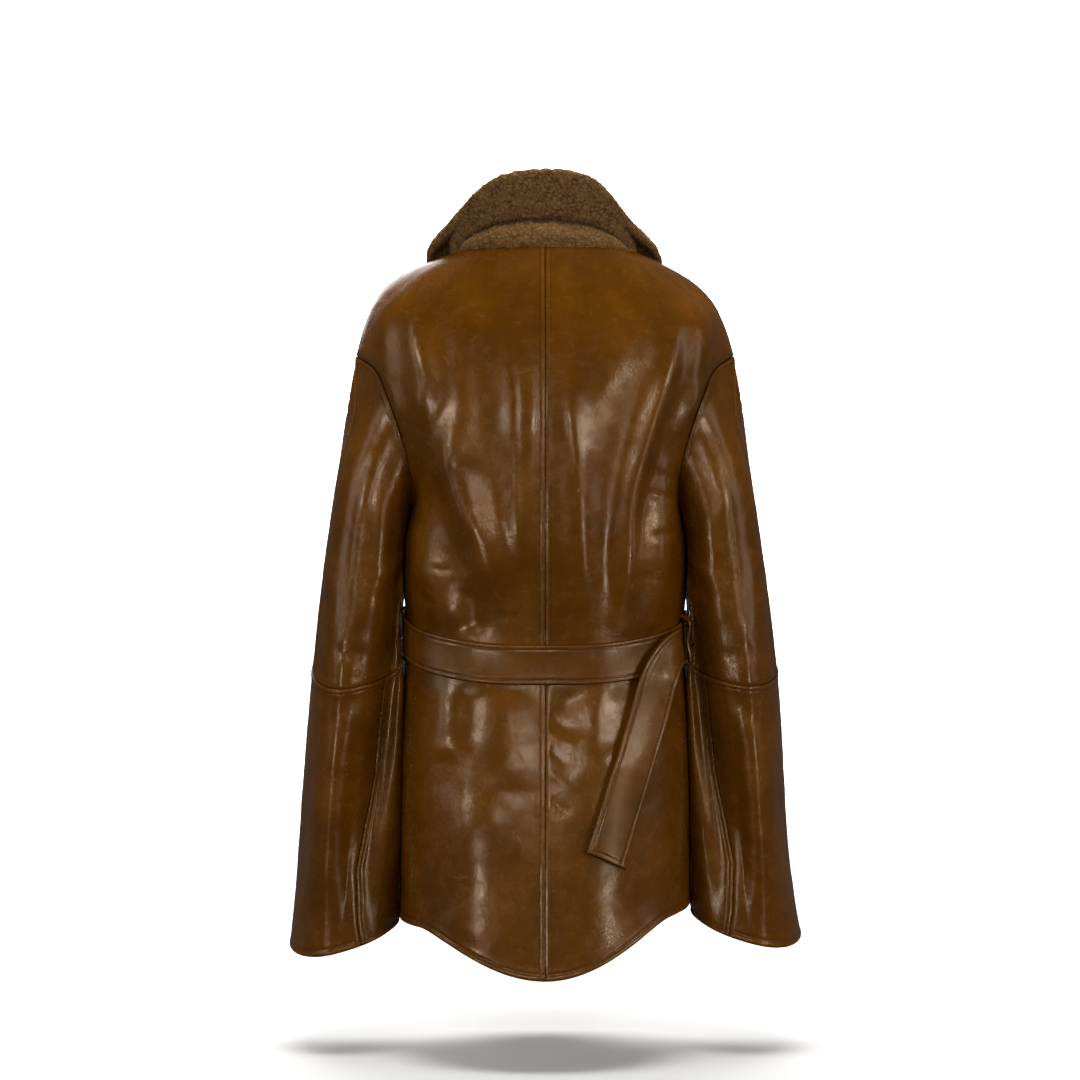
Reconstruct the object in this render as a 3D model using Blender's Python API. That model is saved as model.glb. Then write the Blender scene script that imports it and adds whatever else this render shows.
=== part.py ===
"""Belted shearling coat, hollow and filled out as it is worn, in metres, +Z up, front at -Y.

Every panel is a wall of hide with its short pile inside. A quarter of the body is a grid of rows,
from the hem up to the neck seam, and each row runs round from the centre line to the panel's outer
edge: the side seam, then the armhole, then the shoulder seam. A sleeve starts at the armhole's points.
The origin is in the middle of the neck, at the level where the shoulders carry the coat.
"""

from collections import namedtuple
import math

import bpy
import numpy as np

# --- Driving sizes -----------------------------------------------------------------------------
HIDE = 0.0040          # wall: leather with its clipped pile
SEAM_GAP = 0.0003      # pieces stand this far apart at their seams
ARMHOLE_GAP = 0.0005   # and a sleeve this far from the armhole, where the walls meet at an angle
FRONT_LAP = 0.055      # how far each front runs past the centre line
LAP_STEP = HIDE + 0.0010  # the over front stands out by this much
LAP_RAMP = 0.050       # and rises to it over this width
HEM_LIFT_RIGHT = 0.016  # the right side of the hem hangs this much higher
SHOULDER_DROP_RIGHT = 0.006  # and the right shoulder this much lower, half way along
FOLD_MARGIN = 0.020    # folds die out over this width at a side or shoulder seam

FOOT_CLEAR = 0.0018    # between the neck's rim and the collar
RIM_ALLOWANCE = 1.2    # the over front's raised rim slopes, so the collar clears it by this much more
PILE_COLLAR = 0.0130   # collar leaf, with the curly pile of both faces
LEAF_EDGE = 0.60       # the leaf's free edge is this share of that thickness
STAND_REACH = 0.32     # share of the half collar at which the crescent-shaped stand has run out
STAND_RISE = 0.029
STAND_WALL = 0.0105

BELT_WIDTH = 0.0420
BELT_THICK = 0.0034
BELT_CLEAR = 0.0012    # between the belt and what it lies on
BELT_STATIONS = (0.388, 0.453)  # rows just below and above the belt, between which folds die out
LOOP_WIDTH = 0.0090
LOOP_THICK = 0.0022

SLEEVE_CLEAR = 0.0022  # between a sleeve and the body beside it
BELT_ROOM = 0.0105     # more room beside the belt and its loops

# --- How fine the walls are --------------------------------------------------------------------
BACK_COLUMNS = 12
FRONT_COLUMNS = 9
LAP_COLUMNS = 2
BELT_ROWS = 2
ROWS = (13, BELT_ROWS, 6, 12, 6)  # up to the belt, past it, to the underarm, the shoulder tip and the neck
ELBOW_ROWS = 11
CUFF_ROWS = 9
COLLAR_COLUMNS = 15
LEAF_ROWS = 7
STAND_ROWS = 5
BELT_COLUMNS = 76

# --- The body: one row for each level, for the wearer's left (+X) half ---------------------------
# cb: centre back, cf: centre front, e: the outer edge. level_by: the share of a row over which its
# height changes. full_back, full_front: how square the section is.
Level = namedtuple("Level", "name station cb_y cb_z cf_y cf_z ex ey ez level_by full_back full_front")
LEVELS = (
    Level("hem",        0.00, 0.158, -0.761, -0.150, -0.732, 0.1575, 0.002, -0.713, 0.64, 0.63, 0.62),
    Level("low_skirt",  0.10, 0.153, -0.688, -0.147, -0.664, 0.1575, 0.002, -0.650, 0.68, 0.63, 0.62),
    Level("hip",        0.20, 0.147, -0.605, -0.142, -0.586, 0.1565, 0.002, -0.573, 0.74, 0.63, 0.60),
    Level("skirt_top",  0.32, 0.131, -0.510, -0.133, -0.490, 0.1540, 0.002, -0.482, 0.85, 0.62, 0.60),
    Level("belt",       0.42, 0.117, -0.434, -0.122, -0.405, 0.1500, 0.002, -0.400, 1.00, 0.62, 0.60),
    Level("waist",      0.50, 0.126, -0.374, -0.130, -0.350, 0.1540, 0.003, -0.345, 1.00, 0.62, 0.60),
    Level("ribs",       0.58, 0.138, -0.306, -0.138, -0.296, 0.1545, 0.006, -0.302, 1.00, 0.62, 0.60),
    Level("underarm",   0.64, 0.142, -0.258, -0.142, -0.258, 0.1460, 0.010, -0.275, 1.00, 0.62, 0.60),
    Level("blade",      0.74, 0.142, -0.180, -0.138, -0.190, 0.1460, 0.010, -0.190, 1.00, 0.62, 0.60),
    Level("tip",        0.83, 0.135, -0.112, -0.130, -0.140, 0.2040, 0.020, -0.104, 1.00, 0.62, 0.60),
    Level("yoke",       0.90, 0.124, -0.064, -0.125, -0.118, 0.1810, 0.011, -0.034, 1.00, 0.60, 0.58),
    Level("collarbone", 0.95, 0.110, -0.030, -0.121, -0.103, 0.1460, 0.006, -0.006, 1.00, 0.58, 0.56),
    Level("neck",       1.00, 0.089, 0.010, -0.116, -0.088, 0.0960, 0.004, 0.010, 1.00, 0.56, 0.55),
)
# The armhole's two edges and the shoulder seam, each from its lower end up. out, fall: how far a
# row turns outward and downward as it comes to the edge.
Edge = namedtuple("Edge", "share x y z out fall")
ARMHOLE_BACK = (
    Edge(0.00, 0.1460, 0.010, -0.275, 0.05, 0.00),
    Edge(0.17, 0.1430, 0.042, -0.257, 0.25, 0.00),
    Edge(0.35, 0.1460, 0.067, -0.226, 0.60, 0.10),
    Edge(0.53, 0.1545, 0.077, -0.190, 0.85, 0.20),
    Edge(0.71, 0.1680, 0.073, -0.152, 0.80, 0.30),
    Edge(0.86, 0.1820, 0.054, -0.121, 0.50, 0.30),
    Edge(1.00, 0.2040, 0.020, -0.104, 0.20, 0.20),
)
ARMHOLE_FRONT = (
    Edge(0.00, 0.1460, 0.010, -0.275, 0.05, 0.00),
    Edge(0.17, 0.1410, -0.024, -0.262, 0.25, 0.00),
    Edge(0.35, 0.1420, -0.052, -0.236, 0.55, 0.10),
    Edge(0.53, 0.1500, -0.065, -0.202, 0.80, 0.20),
    Edge(0.71, 0.1650, -0.060, -0.164, 0.75, 0.30),
    Edge(0.86, 0.1820, -0.034, -0.129, 0.45, 0.25),
    Edge(1.00, 0.2040, 0.020, -0.104, 0.20, 0.20),
)
SHOULDER = (
    Edge(0.00, 0.2040, 0.020, -0.104, 0.20, 0.20),
    Edge(0.22, 0.1947, 0.016, -0.0705, 0.08, 0.05),
    Edge(0.42, 0.1815, 0.011, -0.0395, 0.00, 0.00),
    Edge(0.60, 0.1620, 0.007, -0.0190, 0.00, 0.00),
    Edge(0.80, 0.1300, 0.005, -0.0030, 0.00, 0.00),
    Edge(1.00, 0.0960, 0.004, 0.010, 0.00, 0.00),
)

# --- Folds of the body: soft ridges (height > 0) and troughs between two points -----------------
# x0 z0, x1 z1: upper and lower end. width0, width1: half widths there.
Fold = namedtuple("Fold", "side x0 z0 x1 z1 width0 width1 height")
FOLDS = (
    Fold("back", 0.143, -0.050, 0.127, -0.178, 0.015, 0.017, 0.009),
    Fold("back", 0.114, -0.066, 0.113, -0.200, 0.014, 0.016, -0.010),
    Fold("back", 0.178, -0.036, 0.172, -0.128, 0.013, 0.014, 0.006),
    Fold("back", 0.098, -0.180, 0.062, -0.340, 0.016, 0.018, 0.009),
    Fold("back", 0.072, -0.150, 0.030, -0.290, 0.016, 0.020, -0.006),
    Fold("back", 0.034, -0.110, 0.018, -0.340, 0.014, 0.016, 0.007),
    Fold("back", 0.114, -0.270, 0.104, -0.385, 0.013, 0.014, 0.007),
    Fold("back", 0.085, -0.300, 0.078, -0.395, 0.012, 0.012, -0.006),
    Fold("back", -0.142, -0.055, -0.100, -0.250, 0.013, 0.014, 0.010),
    Fold("back", -0.100, -0.250, -0.078, -0.400, 0.014, 0.015, 0.008),
    Fold("back", -0.100, -0.100, -0.064, -0.330, 0.016, 0.018, -0.010),
    Fold("back", -0.130, -0.160, -0.106, -0.320, 0.013, 0.014, -0.009),
    Fold("back", -0.130, -0.250, -0.130, -0.350, 0.013, 0.014, 0.007),
    Fold("back", -0.026, -0.150, -0.044, -0.370, 0.015, 0.017, 0.009),
    Fold("back", 0.020, -0.470, 0.045, -0.560, 0.014, 0.026, 0.007),
    Fold("back", 0.086, -0.470, 0.080, -0.540, 0.012, 0.015, 0.007),
    Fold("back", 0.058, -0.470, 0.062, -0.540, 0.012, 0.014, -0.006),
    Fold("back", -0.034, -0.470, -0.052, -0.550, 0.013, 0.024, 0.007),
    Fold("back", -0.060, -0.480, -0.066, -0.620, 0.012, 0.018, -0.007),
    Fold("back", 0.112, -0.520, 0.118, -0.720, 0.016, 0.024, -0.007),
    Fold("back", 0.075, -0.560, 0.080, -0.740, 0.020, 0.028, 0.006),
    Fold("back", -0.105, -0.540, -0.116, -0.720, 0.016, 0.024, -0.006),
    Fold("front", 0.122, -0.075, 0.112, -0.210, 0.015, 0.016, 0.008),
    Fold("front", -0.122, -0.075, -0.110, -0.215, 0.015, 0.016, 0.008),
    Fold("front", 0.094, -0.190, 0.070, -0.370, 0.014, 0.016, 0.008),
    Fold("front", -0.097, -0.180, -0.072, -0.375, 0.014, 0.016, 0.009),
    Fold("front", 0.075, -0.440, 0.085, -0.600, 0.013, 0.022, 0.007),
    Fold("front", -0.080, -0.440, -0.090, -0.610, 0.013, 0.022, 0.007),
    Fold("front", 0.112, -0.450, 0.120, -0.640, 0.013, 0.018, -0.006),
    Fold("front", -0.112, -0.450, -0.118, -0.640, 0.013, 0.018, -0.006),
)

# --- The sleeves: rings from the armhole to the cuff, for the +X side ----------------------------
# o, i: the ring's outermost and innermost points. back, front: half depths. dip: how much lower its
# back is. inner: how far the inner half of its back is drawn in. notch: depth of the long fold
# between both halves of the back, at the angle notch_at (degrees).
Ring = namedtuple("Ring", "name station ox oy oz ix iy iz back front dip inner notch notch_at")
RINGS = (
    Ring("armhole", 0.00, 0.2040, 0.020, -0.104, 0.146, 0.010, -0.275, 0.070, 0.068, -0.010, 0.00, 0.000, 130),
    Ring("cap",     0.07, 0.2130, 0.012, -0.148, 0.148, 0.007, -0.287, 0.074, 0.072, -0.004, 0.02, 0.001, 130),
    Ring("bicep",   0.17, 0.2235, 0.006, -0.215, 0.148, 0.006, -0.307, 0.077, 0.075, 0.006, 0.06, 0.006, 130),
    Ring("mid_arm", 0.30, 0.2365, 0.004, -0.300, 0.146, 0.006, -0.346, 0.076, 0.074, 0.012, 0.14, 0.014, 130),
    Ring("elbow",   0.52, 0.2530, 0.002, -0.440, 0.146, 0.003, -0.418, 0.077, 0.078, 0.016, 0.24, 0.022, 120),
    Ring("forearm", 0.68, 0.2630, -0.010, -0.545, 0.149, -0.006, -0.520, 0.081, 0.080, 0.018, 0.26, 0.024, 110),
    Ring("wrist",   0.85, 0.2720, -0.024, -0.655, 0.152, -0.018, -0.622, 0.086, 0.084, 0.018, 0.20, 0.014, 102),
    Ring("cuff",    1.00, 0.2800, -0.036, -0.745, 0.154, -0.030, -0.709, 0.091, 0.088, 0.018, 0.10, 0.003, 108),
)
NOTCH_WIDTH = 19.0     # degrees
INNER_SQUARE = 0.70    # below 1 the inner half of a ring is squarer, as it lies along the body
ELBOW_STATION = 0.52
LOOP_FADE = 0.20       # the armhole's own shape fades into the rings over this share
# How the right sleeve differs: it hangs higher and closer.
Sway = namedtuple("Sway", "station dx dz")
RIGHT_SWAY = (
    Sway(0.00, 0.0020, 0.004),
    Sway(0.16, -0.0020, 0.002),
    Sway(0.30, -0.0020, 0.000),
    Sway(0.52, -0.0003, -0.001),
    Sway(0.85, -0.0035, 0.006),
    Sway(1.00, 0.0010, 0.010),
)

# --- The collar's leaf: cross-sections from the centre back round to the front -------------------
# Each is a curve from the neck seam: lean and rise place its first handle, over and up its second
# one, edge and level its free edge. First columns: outward. Second columns: upward.
Section = namedtuple("Section", "share base base_up lean rise over up edge level")
SECTIONS = (
    Section(0.00, -0.0090, 0.0, -0.0110, 0.034, 0.004, 0.056, 0.022, 0.0768),
    Section(0.12, -0.0090, 0.0, -0.0105, 0.032, 0.003, 0.052, 0.020, 0.0710),
    Section(0.22, -0.0080, 0.0, -0.0090, 0.027, 0.000, 0.043, 0.013, 0.0500),
    Section(0.32, -0.0045, 0.0, -0.0060, 0.022, 0.000, 0.032, 0.010, 0.0235),
    Section(0.42, -0.0010, 0.0, -0.0030, 0.018, 0.008, 0.024, 0.023, 0.0050),
    Section(0.52, 0.0000, 0.0, 0.0000, 0.016, 0.021, 0.020, 0.039, -0.0020),
    Section(0.65, 0.0000, 0.0, 0.0020, 0.016, 0.026, 0.022, 0.046, -0.030),
    Section(0.80, 0.0000, 0.0, 0.0040, 0.015, 0.030, 0.016, 0.050, -0.062),
    Section(1.00, 0.0000, 0.0, 0.0040, 0.013, 0.026, 0.010, 0.062, -0.086),
)
COLLAR_END = 0.965     # the leaf stops at this share, just short of the centre front
POINT_SPREAD = 1.1     # how far the leaf's front points turn to the side
COLLAR_SWAY = 0.0045   # the collar leans this far to the wearer's left, half way up
COLLAR_TOP = 0.090

# --- The belt ------------------------------------------------------------------------------------
# Degrees round from +X, with the back at 90. It goes from a hidden inner end on the front's left by
# the right side and the back, and once more over the front to the loop on the right.
BELT_START = -62.0
LOOP_LEFT = 7.0
LOOP_RIGHT = 163.0
BELT_STOP = LOOP_RIGHT - 720.0
BELT_AXIS = (0.0, -0.002)
# The hanging end: its middle, lean from upright and half width, off: how far it stands out.
Hang = namedtuple("Hang", "x z lean half off")
BELT_END = (
    Hang(-0.1440, -0.4160, -84.0, 0.0195, 0.0062),
    Hang(-0.1345, -0.4240, -66.0, 0.0195, 0.0085),
    Hang(-0.1265, -0.4360, -46.0, 0.0200, 0.0105),
    Hang(-0.1190, -0.4520, -29.0, 0.0205, 0.0110),
    Hang(-0.1110, -0.4800, -19.0, 0.0207, 0.0085),
    Hang(-0.0985, -0.5200, -17.6, 0.0207, 0.0060),
    Hang(-0.0828, -0.5700, -17.4, 0.0207, 0.0050),
    Hang(-0.0658, -0.6240, -17.2, 0.0207, 0.0048),
    Hang(-0.0618, -0.6365, -17.2, 0.0207, 0.0048),
)
END_SLANT = 0.0045     # the hanging end is cut on a slant, this much each way

LEATHER = ("hide_leather", (0.235, 0.105, 0.022), 0.38)
FLEECE = ("curly_fleece", (0.200, 0.110, 0.045), 0.95)


# --- Curves and surfaces -------------------------------------------------------------------------
def curve(knots, values, at):
    """Smooth curve through the values at the knots, read at the places given."""
    knots, values, at = (np.asarray(a, float) for a in (knots, values, at))
    span = np.diff(knots)[:, None]
    slopes = np.diff(values, axis=0) / span
    tangents = np.empty_like(values)
    tangents[0], tangents[-1] = slopes[0], slopes[-1]
    tangents[1:-1] = (slopes[:-1] * span[1:] + slopes[1:] * span[:-1]) / (span[1:] + span[:-1])
    index = np.clip(np.searchsorted(knots, at, side="right") - 1, 0, len(knots) - 2)
    width = span[index]
    t = ((at - knots[index]) / width[:, 0])[:, None]
    return (
        (2 * t**3 - 3 * t**2 + 1) * values[index]
        + (t**3 - 2 * t**2 + t) * width * tangents[index]
        + (3 * t**2 - 2 * t**3) * values[index + 1]
        + (t**3 - t**2) * width * tangents[index + 1]
    )


def unit(vectors):
    return vectors / np.maximum(np.linalg.norm(vectors, axis=-1, keepdims=True), 1e-12)


def ease(t):
    t = np.clip(t, 0.0, 1.0)
    return t * t * (3 - 2 * t)


def mirrored(points):
    return points * np.array([-1.0, 1.0, 1.0])


def station_of(name):
    return next(level.station for level in LEVELS if level.name == name)


def row_stations():
    """The places of the body's rows, each stretch divided evenly."""
    ends = (0.0, *BELT_STATIONS, station_of("underarm"), station_of("tip"), 1.0)
    places = [np.linspace(a, b, n + 1)[:-1] for a, b, n in zip(ends, ends[1:], ROWS)]
    return np.concatenate(places + [[1.0]])


def edge_rows(stations, armhole):
    """Outer edge for every row: side seam, then this edge of the armhole, then the shoulder seam.
    Returns its points and how far a row turns outward and down there."""
    low, high = station_of("underarm"), station_of("tip")
    below = [level for level in LEVELS if level.station <= low]
    points, heading = np.empty((len(stations), 3)), np.zeros((len(stations), 2))
    side = stations < low
    points[side] = curve([b.station for b in below], [(b.ex, b.ey, b.ez) for b in below], stations[side])
    for chosen, table, start, end in (
        ((stations >= low) & (stations < high), armhole, low, high),
        (stations >= high, SHOULDER, high, 1.0),
    ):
        share = (stations[chosen] - start) / (end - start)
        read = curve([e.share for e in table], [e[1:] for e in table], share)
        points[chosen], heading[chosen] = read[:, :3], read[:, 3:]
    return points, heading


def quarter_surface(which, columns, stations):
    """Rows by columns of points of a +X quarter, from the centre line to the outer edge."""
    if which == "back":
        centre = [(b.cb_y, b.cb_z, b.full_back, b.level_by) for b in LEVELS]
        armhole, forward = ARMHOLE_BACK, -1.0
    else:
        centre = [(b.cf_y, b.cf_z, b.full_front, b.level_by) for b in LEVELS]
        armhole, forward = ARMHOLE_FRONT, 1.0
    edge, heading = edge_rows(stations, armhole)
    y, z, full, level_by = (c[:, None] for c in curve([b.station for b in LEVELS], centre, stations).T)
    ex, ey, ez = (edge[:, k : k + 1] for k in range(3))
    out, fall = heading[:, :1], heading[:, 1:]
    way = unit(np.concatenate([out, np.full_like(out, forward), -fall], axis=1))
    pull = np.abs(y - ey) * full * (1 - 0.25 * out)
    t = np.linspace(0.0, 1.0, columns + 1)[None, :]
    b1, b2, b3 = 3 * t * (1 - t) ** 2, 3 * t**2 * (1 - t), t**3
    x = b1 * ex * full + b2 * (ex - pull * way[:, :1]) + b3 * ex
    depth = (1 - t) ** 3 * y + b1 * y + b2 * (ey - pull * way[:, 1:2]) + b3 * ey
    height = z + (ez - z) * ease(t / level_by) - b2 * pull * way[:, 2:]
    return np.stack([x, depth, height], axis=2)


def grid_normals(points, closed=False):
    """Normals of a grid of rows by columns; which way they face depends on its order."""
    if closed:
        across = np.roll(points, -1, axis=1) - np.roll(points, 1, axis=1)
    else:
        across = np.gradient(points, axis=1)
    return unit(np.cross(across, np.gradient(points, axis=0)))


def quarter_normals(points, which, side):
    normals = grid_normals(points) * (side if which == "front" else -side)
    normals[:, 0, 0] = 0.0
    return unit(normals)


def belt_height(x, y):
    """Height of the belt's middle at a place round the body."""
    belt = next(level for level in LEVELS if level.name == "belt")
    turn = np.clip(np.where(y > belt.ey, (y - belt.ey) / (belt.cb_y - belt.ey),
                            (belt.ey - y) / (belt.ey - belt.cf_y)), 0.0, 1.0)
    return belt.ez + (np.where(y > belt.ey, belt.cb_z, belt.cf_z) - belt.ez) * turn


def fold_height(points, which):
    """Height of the folds over each point of one side of the body."""
    x, y, z = (points[..., k] for k in range(3))
    total = np.zeros(x.shape)
    for fold in (f for f in FOLDS if f.side == which):
        run = np.array([fold.x1 - fold.x0, fold.z1 - fold.z0])
        t = ((x - fold.x0) * run[0] + (z - fold.z0) * run[1]) / (run @ run)
        inside = np.clip(t, 0.0, 1.0)
        away = np.hypot(x - fold.x0 - inside * run[0], z - fold.z0 - inside * run[1])
        width = fold.width0 + (fold.width1 - fold.width0) * inside
        total += fold.height * np.exp(-((away / width) ** 2)) * ease(4 * (inside + 0.1)) * ease(4 * (1.1 - inside))
    return total * ease((np.abs(z - belt_height(x, y)) - BELT_WIDTH / 2 - 0.001) / 0.020)


def body_quarter(which, columns, side):
    """Outer points of one quarter of the body, side +1 or -1, and the normals of its plain form."""
    stations = row_stations()
    points = quarter_surface(which, columns, stations)
    if side < 0:
        points = mirrored(points)
        low = 1 - ease(stations / station_of("belt"))
        points[..., 2] += HEM_LIFT_RIGHT * low[:, None] * ease(np.linspace(0.0, 1.0, columns + 1))
        along = (stations - station_of("tip")) / (1 - station_of("tip"))
        drop = SHOULDER_DROP_RIGHT * ease(2 * along) * ease(2 - 2 * along)
        points[..., 2] -= drop[:, None] * ease(np.linspace(0.0, 1.0, columns + 1))
    from_edge = np.linalg.norm(points - points[:, -1:, :], axis=2)
    height = fold_height(points, which) * ease(from_edge / FOLD_MARGIN)
    normals = quarter_normals(points, which, side)
    return points + normals * height[..., None], normals


def lift_clear(points, cloud, normals, clear, reach=0.014):
    """Moves points that are nearer than clear to a surface out of it, along its smoothed normals."""
    shape = points.shape
    flat, clear = points.reshape(-1, 3).copy(), np.broadcast_to(clear, shape[:-1]).reshape(-1)
    for _ in range(3):
        away = flat[:, None] - cloud[None]
        weight = np.exp(-(away**2).sum(axis=2) / reach**2)
        total = weight.sum(axis=1)
        height = (weight * (away * normals[None]).sum(axis=2)).sum(axis=1) / np.maximum(total, 1e-30)
        way = unit((weight[..., None] * normals[None]).sum(axis=1))
        push = np.where(total > 1e-7, np.clip(clear - height, 0.0, 0.03), 0.0)
        flat += way * push[:, None]
    return flat.reshape(shape)


# --- Walls -----------------------------------------------------------------------------------------
def wall_object(name, outer, inner, material):
    """A closed wall between two grids of points of the same size."""
    rows, columns = outer.shape[:2]
    count = rows * columns
    index = np.arange(count).reshape(rows, columns)
    a, b = index[:-1, :-1].ravel(), index[:-1, 1:].ravel()
    c, d = index[1:, 1:].ravel(), index[1:, :-1].ravel()
    flat = outer.reshape(-1, 3)
    turned = np.linalg.norm(flat[a] - flat[c], axis=1) > np.linalg.norm(flat[b] - flat[d], axis=1)
    first = np.where(turned, (a, b, d), (a, b, c)).T
    second = np.where(turned, (b, c, d), (a, c, d)).T
    halves = np.concatenate([first, second])
    faces = halves.tolist() + (halves[:, ::-1] + count).tolist()
    rim = np.concatenate([index[0], index[1:, -1], index[-1, -2::-1], index[-2:0:-1, 0]])
    following = np.roll(rim, -1)
    faces += np.column_stack([following, rim, rim + count, following + count]).tolist()
    mesh = bpy.data.meshes.new(name)
    vertices = np.concatenate([outer.reshape(-1, 3), inner.reshape(-1, 3)])
    mesh.from_pydata(vertices.tolist(), [], faces)
    if signed_volume(mesh) < 0:
        mesh.flip_normals()
    mesh.shade_smooth()
    mesh.set_sharp_from_angle(angle=math.radians(50))
    mesh.materials.append(material)
    thing = bpy.data.objects.new(name, mesh)
    bpy.context.scene.collection.objects.link(thing)


def signed_volume(mesh):
    mesh.calc_loop_triangles()
    corners = [[mesh.vertices[v].co for v in triangle.vertices] for triangle in mesh.loop_triangles]
    return sum(a.dot(b.cross(c)) for a, b, c in corners)


def seam(outer, inner, column=None, row=None, gap=SEAM_GAP / 2):
    """Moves one rim of a wall back along the cloth, so that the seam there has its gap."""
    for grid in (outer, inner):
        if column is not None:
            grid[:, column] += unit(grid[:, 1 if column == 0 else -2] - grid[:, column]) * gap
        if row is not None:
            grid[row] += unit(grid[1 if row == 0 else -2] - grid[row]) * gap


def make_material(finish):
    name, colour, roughness = finish
    material = bpy.data.materials.new(name)
    material.use_nodes = True
    shader = material.node_tree.nodes["Principled BSDF"]
    shader.inputs["Base Color"].default_value = (*colour, 1.0)
    shader.inputs["Roughness"].default_value = roughness
    shader.inputs["Metallic"].default_value = 0.0
    material.diffuse_color = (*colour, 1.0)
    return material


# --- The body and the sleeves' points ------------------------------------------------------------
def armhole_rows():
    stations = row_stations()
    low, high = station_of("underarm") - 1e-9, station_of("tip") + 1e-9
    return np.flatnonzero((stations >= low) & (stations <= high))


def armhole_loop():
    """The armhole's points from the shoulder tip down its back edge and up its front edge."""
    rows = armhole_rows()
    stations = row_stations()[rows]
    back, front = edge_rows(stations, ARMHOLE_BACK)[0], edge_rows(stations, ARMHOLE_FRONT)[0]
    return np.concatenate([back[::-1], front[1:-1]])


def sleeve_stations():
    upper = np.linspace(0.0, ELBOW_STATION, ELBOW_ROWS + 1)[:-1]
    return np.concatenate([upper, np.linspace(ELBOW_STATION, 1.0, CUFF_ROWS + 1)])


def sleeve_rings(side):
    """Rows by ring columns of a sleeve's outer points. Column 0 is at the top seam, then the back."""
    loop, stations = armhole_loop(), sleeve_stations()
    read = curve([r.station for r in RINGS], [r[2:] for r in RINGS], stations)[:, None, :]
    angle = np.linspace(0.0, 2 * np.pi, len(loop), endpoint=False)[None, :]
    out, inside = read[..., 0:3], read[..., 3:6]
    back, front, dip, inner, notch, notch_at = (read[..., k] for k in range(6, 12))
    c, s = np.cos(angle), np.sin(angle)
    across = np.where(c < 0, -(np.abs(c) ** INNER_SQUARE), c)
    ring = (out + inside) / 2 + (out - inside) / 2 * across[..., None]
    drawn_in = 1 - inner * np.clip(s, 0.0, 1.0) * np.clip(0.35 - c, 0.0, 1.0)
    ring[..., 1] += np.where(s > 0, back * drawn_in, front) * s
    ring[..., 2] -= dip * s
    ring += (loop[None] - ring[:1]) * (1 - ease(stations / LOOP_FADE))[:, None, None]
    if side < 0:
        sway = curve([w.station for w in RIGHT_SWAY], [w[1:] for w in RIGHT_SWAY], stations)
        sway *= ease(stations / LOOP_FADE)[:, None]
        ring[..., 0] += sway[:, :1] * np.clip(c, 0.0, 1.0)
        ring[..., 2] += sway[:, 1:]
        ring = mirrored(ring)
    trough = notch * np.exp(-(((np.degrees(angle) - notch_at) / NOTCH_WIDTH) ** 2))
    return ring, trough


def laid_sleeve(side, cloud, normals):
    """The sleeve moved clear of the body, and of the belt that is round it."""
    (ring, trough), stations = sleeve_rings(side), sleeve_stations()
    normals_out = grid_normals(ring, closed=True) * -side
    ring[..., 1] -= trough
    beside_belt = np.exp(-(((ring[..., 2] - belt_height(0.0, 0.002)) / 0.034) ** 4))
    clear = SLEEVE_CLEAR * ease(stations / 0.10)[:, None] + BELT_ROOM * beside_belt
    return lift_clear(ring, cloud, normals, clear), normals_out


def joined_normals(back, front, sleeve_first):
    """Makes the normals of pieces that meet at a seam one, at every point of the seam."""
    stations, arm = row_stations(), armhole_rows()
    back, front = back.copy(), front.copy()
    plain = (stations < stations[arm[0]]) | (stations > stations[arm[-1]])
    both = unit(back[:, -1] + front[:, -1])
    back[plain, -1], front[plain, -1] = both[plain], both[plain]
    count = len(arm)
    sleeve = np.concatenate([sleeve_first, sleeve_first[:1]])
    sleeve_back, sleeve_front = sleeve[:count][::-1], sleeve[count - 1 :]
    for ends in (0, -1):
        shared = unit(both[arm[ends]] + sleeve_back[ends])
        back[arm[ends], -1], front[arm[ends], -1] = shared, shared
    middle = arm[1:-1]
    back[middle, -1] = unit(back[middle, -1] + sleeve_back[1:-1])
    front[middle, -1] = unit(front[middle, -1] + sleeve_front[1:-1])
    joined = np.concatenate([back[arm, -1][::-1], front[arm, -1][1:-1]])
    return back, front, joined


def front_with_lap(front, other):
    """The front quarter with its lap past the centre line, where it follows the other quarter."""
    columns = []
    for share in range(LAP_COLUMNS, 0, -1):
        want = FRONT_LAP * share / LAP_COLUMNS
        reach = np.abs(other[..., 0])
        columns.append([[np.interp(want, reach[j], row[:, k]) for k in range(3)] for j, row in enumerate(other)])
    return np.concatenate([np.stack([np.array(c) for c in columns], axis=1), front], axis=1)


def over_lift(x):
    """How far the over front stands out, from its own side to its edge past the centre."""
    return LAP_STEP * ease((x + FRONT_LAP + LAP_RAMP) / LAP_RAMP)


def body_cloud(quarters, side):
    """Points and normals of the outside of one half of the body, for laying things against it."""
    pair = [quarters[side, w] for w in ("back", "front")]
    points = np.concatenate([grid.reshape(-1, 3) for grid, _ in pair])
    normals = [quarter_normals(grid, w, side) for (grid, _), w in zip(pair, ("back", "front"))]
    return points, np.concatenate([n.reshape(-1, 3) for n in normals])


def make_body_and_sleeves(leather):
    quarters = {}
    for side in (1, -1):
        quarters[side, "back"] = body_quarter("back", BACK_COLUMNS, side)
        quarters[side, "front"] = body_quarter("front", FRONT_COLUMNS, side)
    for side, word in ((1, "left"), (-1, "right")):
        (back, back_plain), (front, front_plain) = quarters[side, "back"], quarters[side, "front"]
        ring, ring_normals = laid_sleeve(side, *body_cloud(quarters, side))
        ring[0] = armhole_loop() if side > 0 else mirrored(armhole_loop())
        back_normals, front_normals, ring_normals[0] = joined_normals(back_plain, front_plain, ring_normals[0])
        outer, inner = back.copy(), back - back_normals * HIDE
        seam(outer, inner, column=0)
        seam(outer, inner, column=-1)
        wall_object(f"back_{word}", outer, inner, leather)
        make_front(word, side, front, quarters[-side, "front"][0], front_normals, leather)
        make_sleeve(word, ring, ring_normals, leather)
    return quarters


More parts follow.
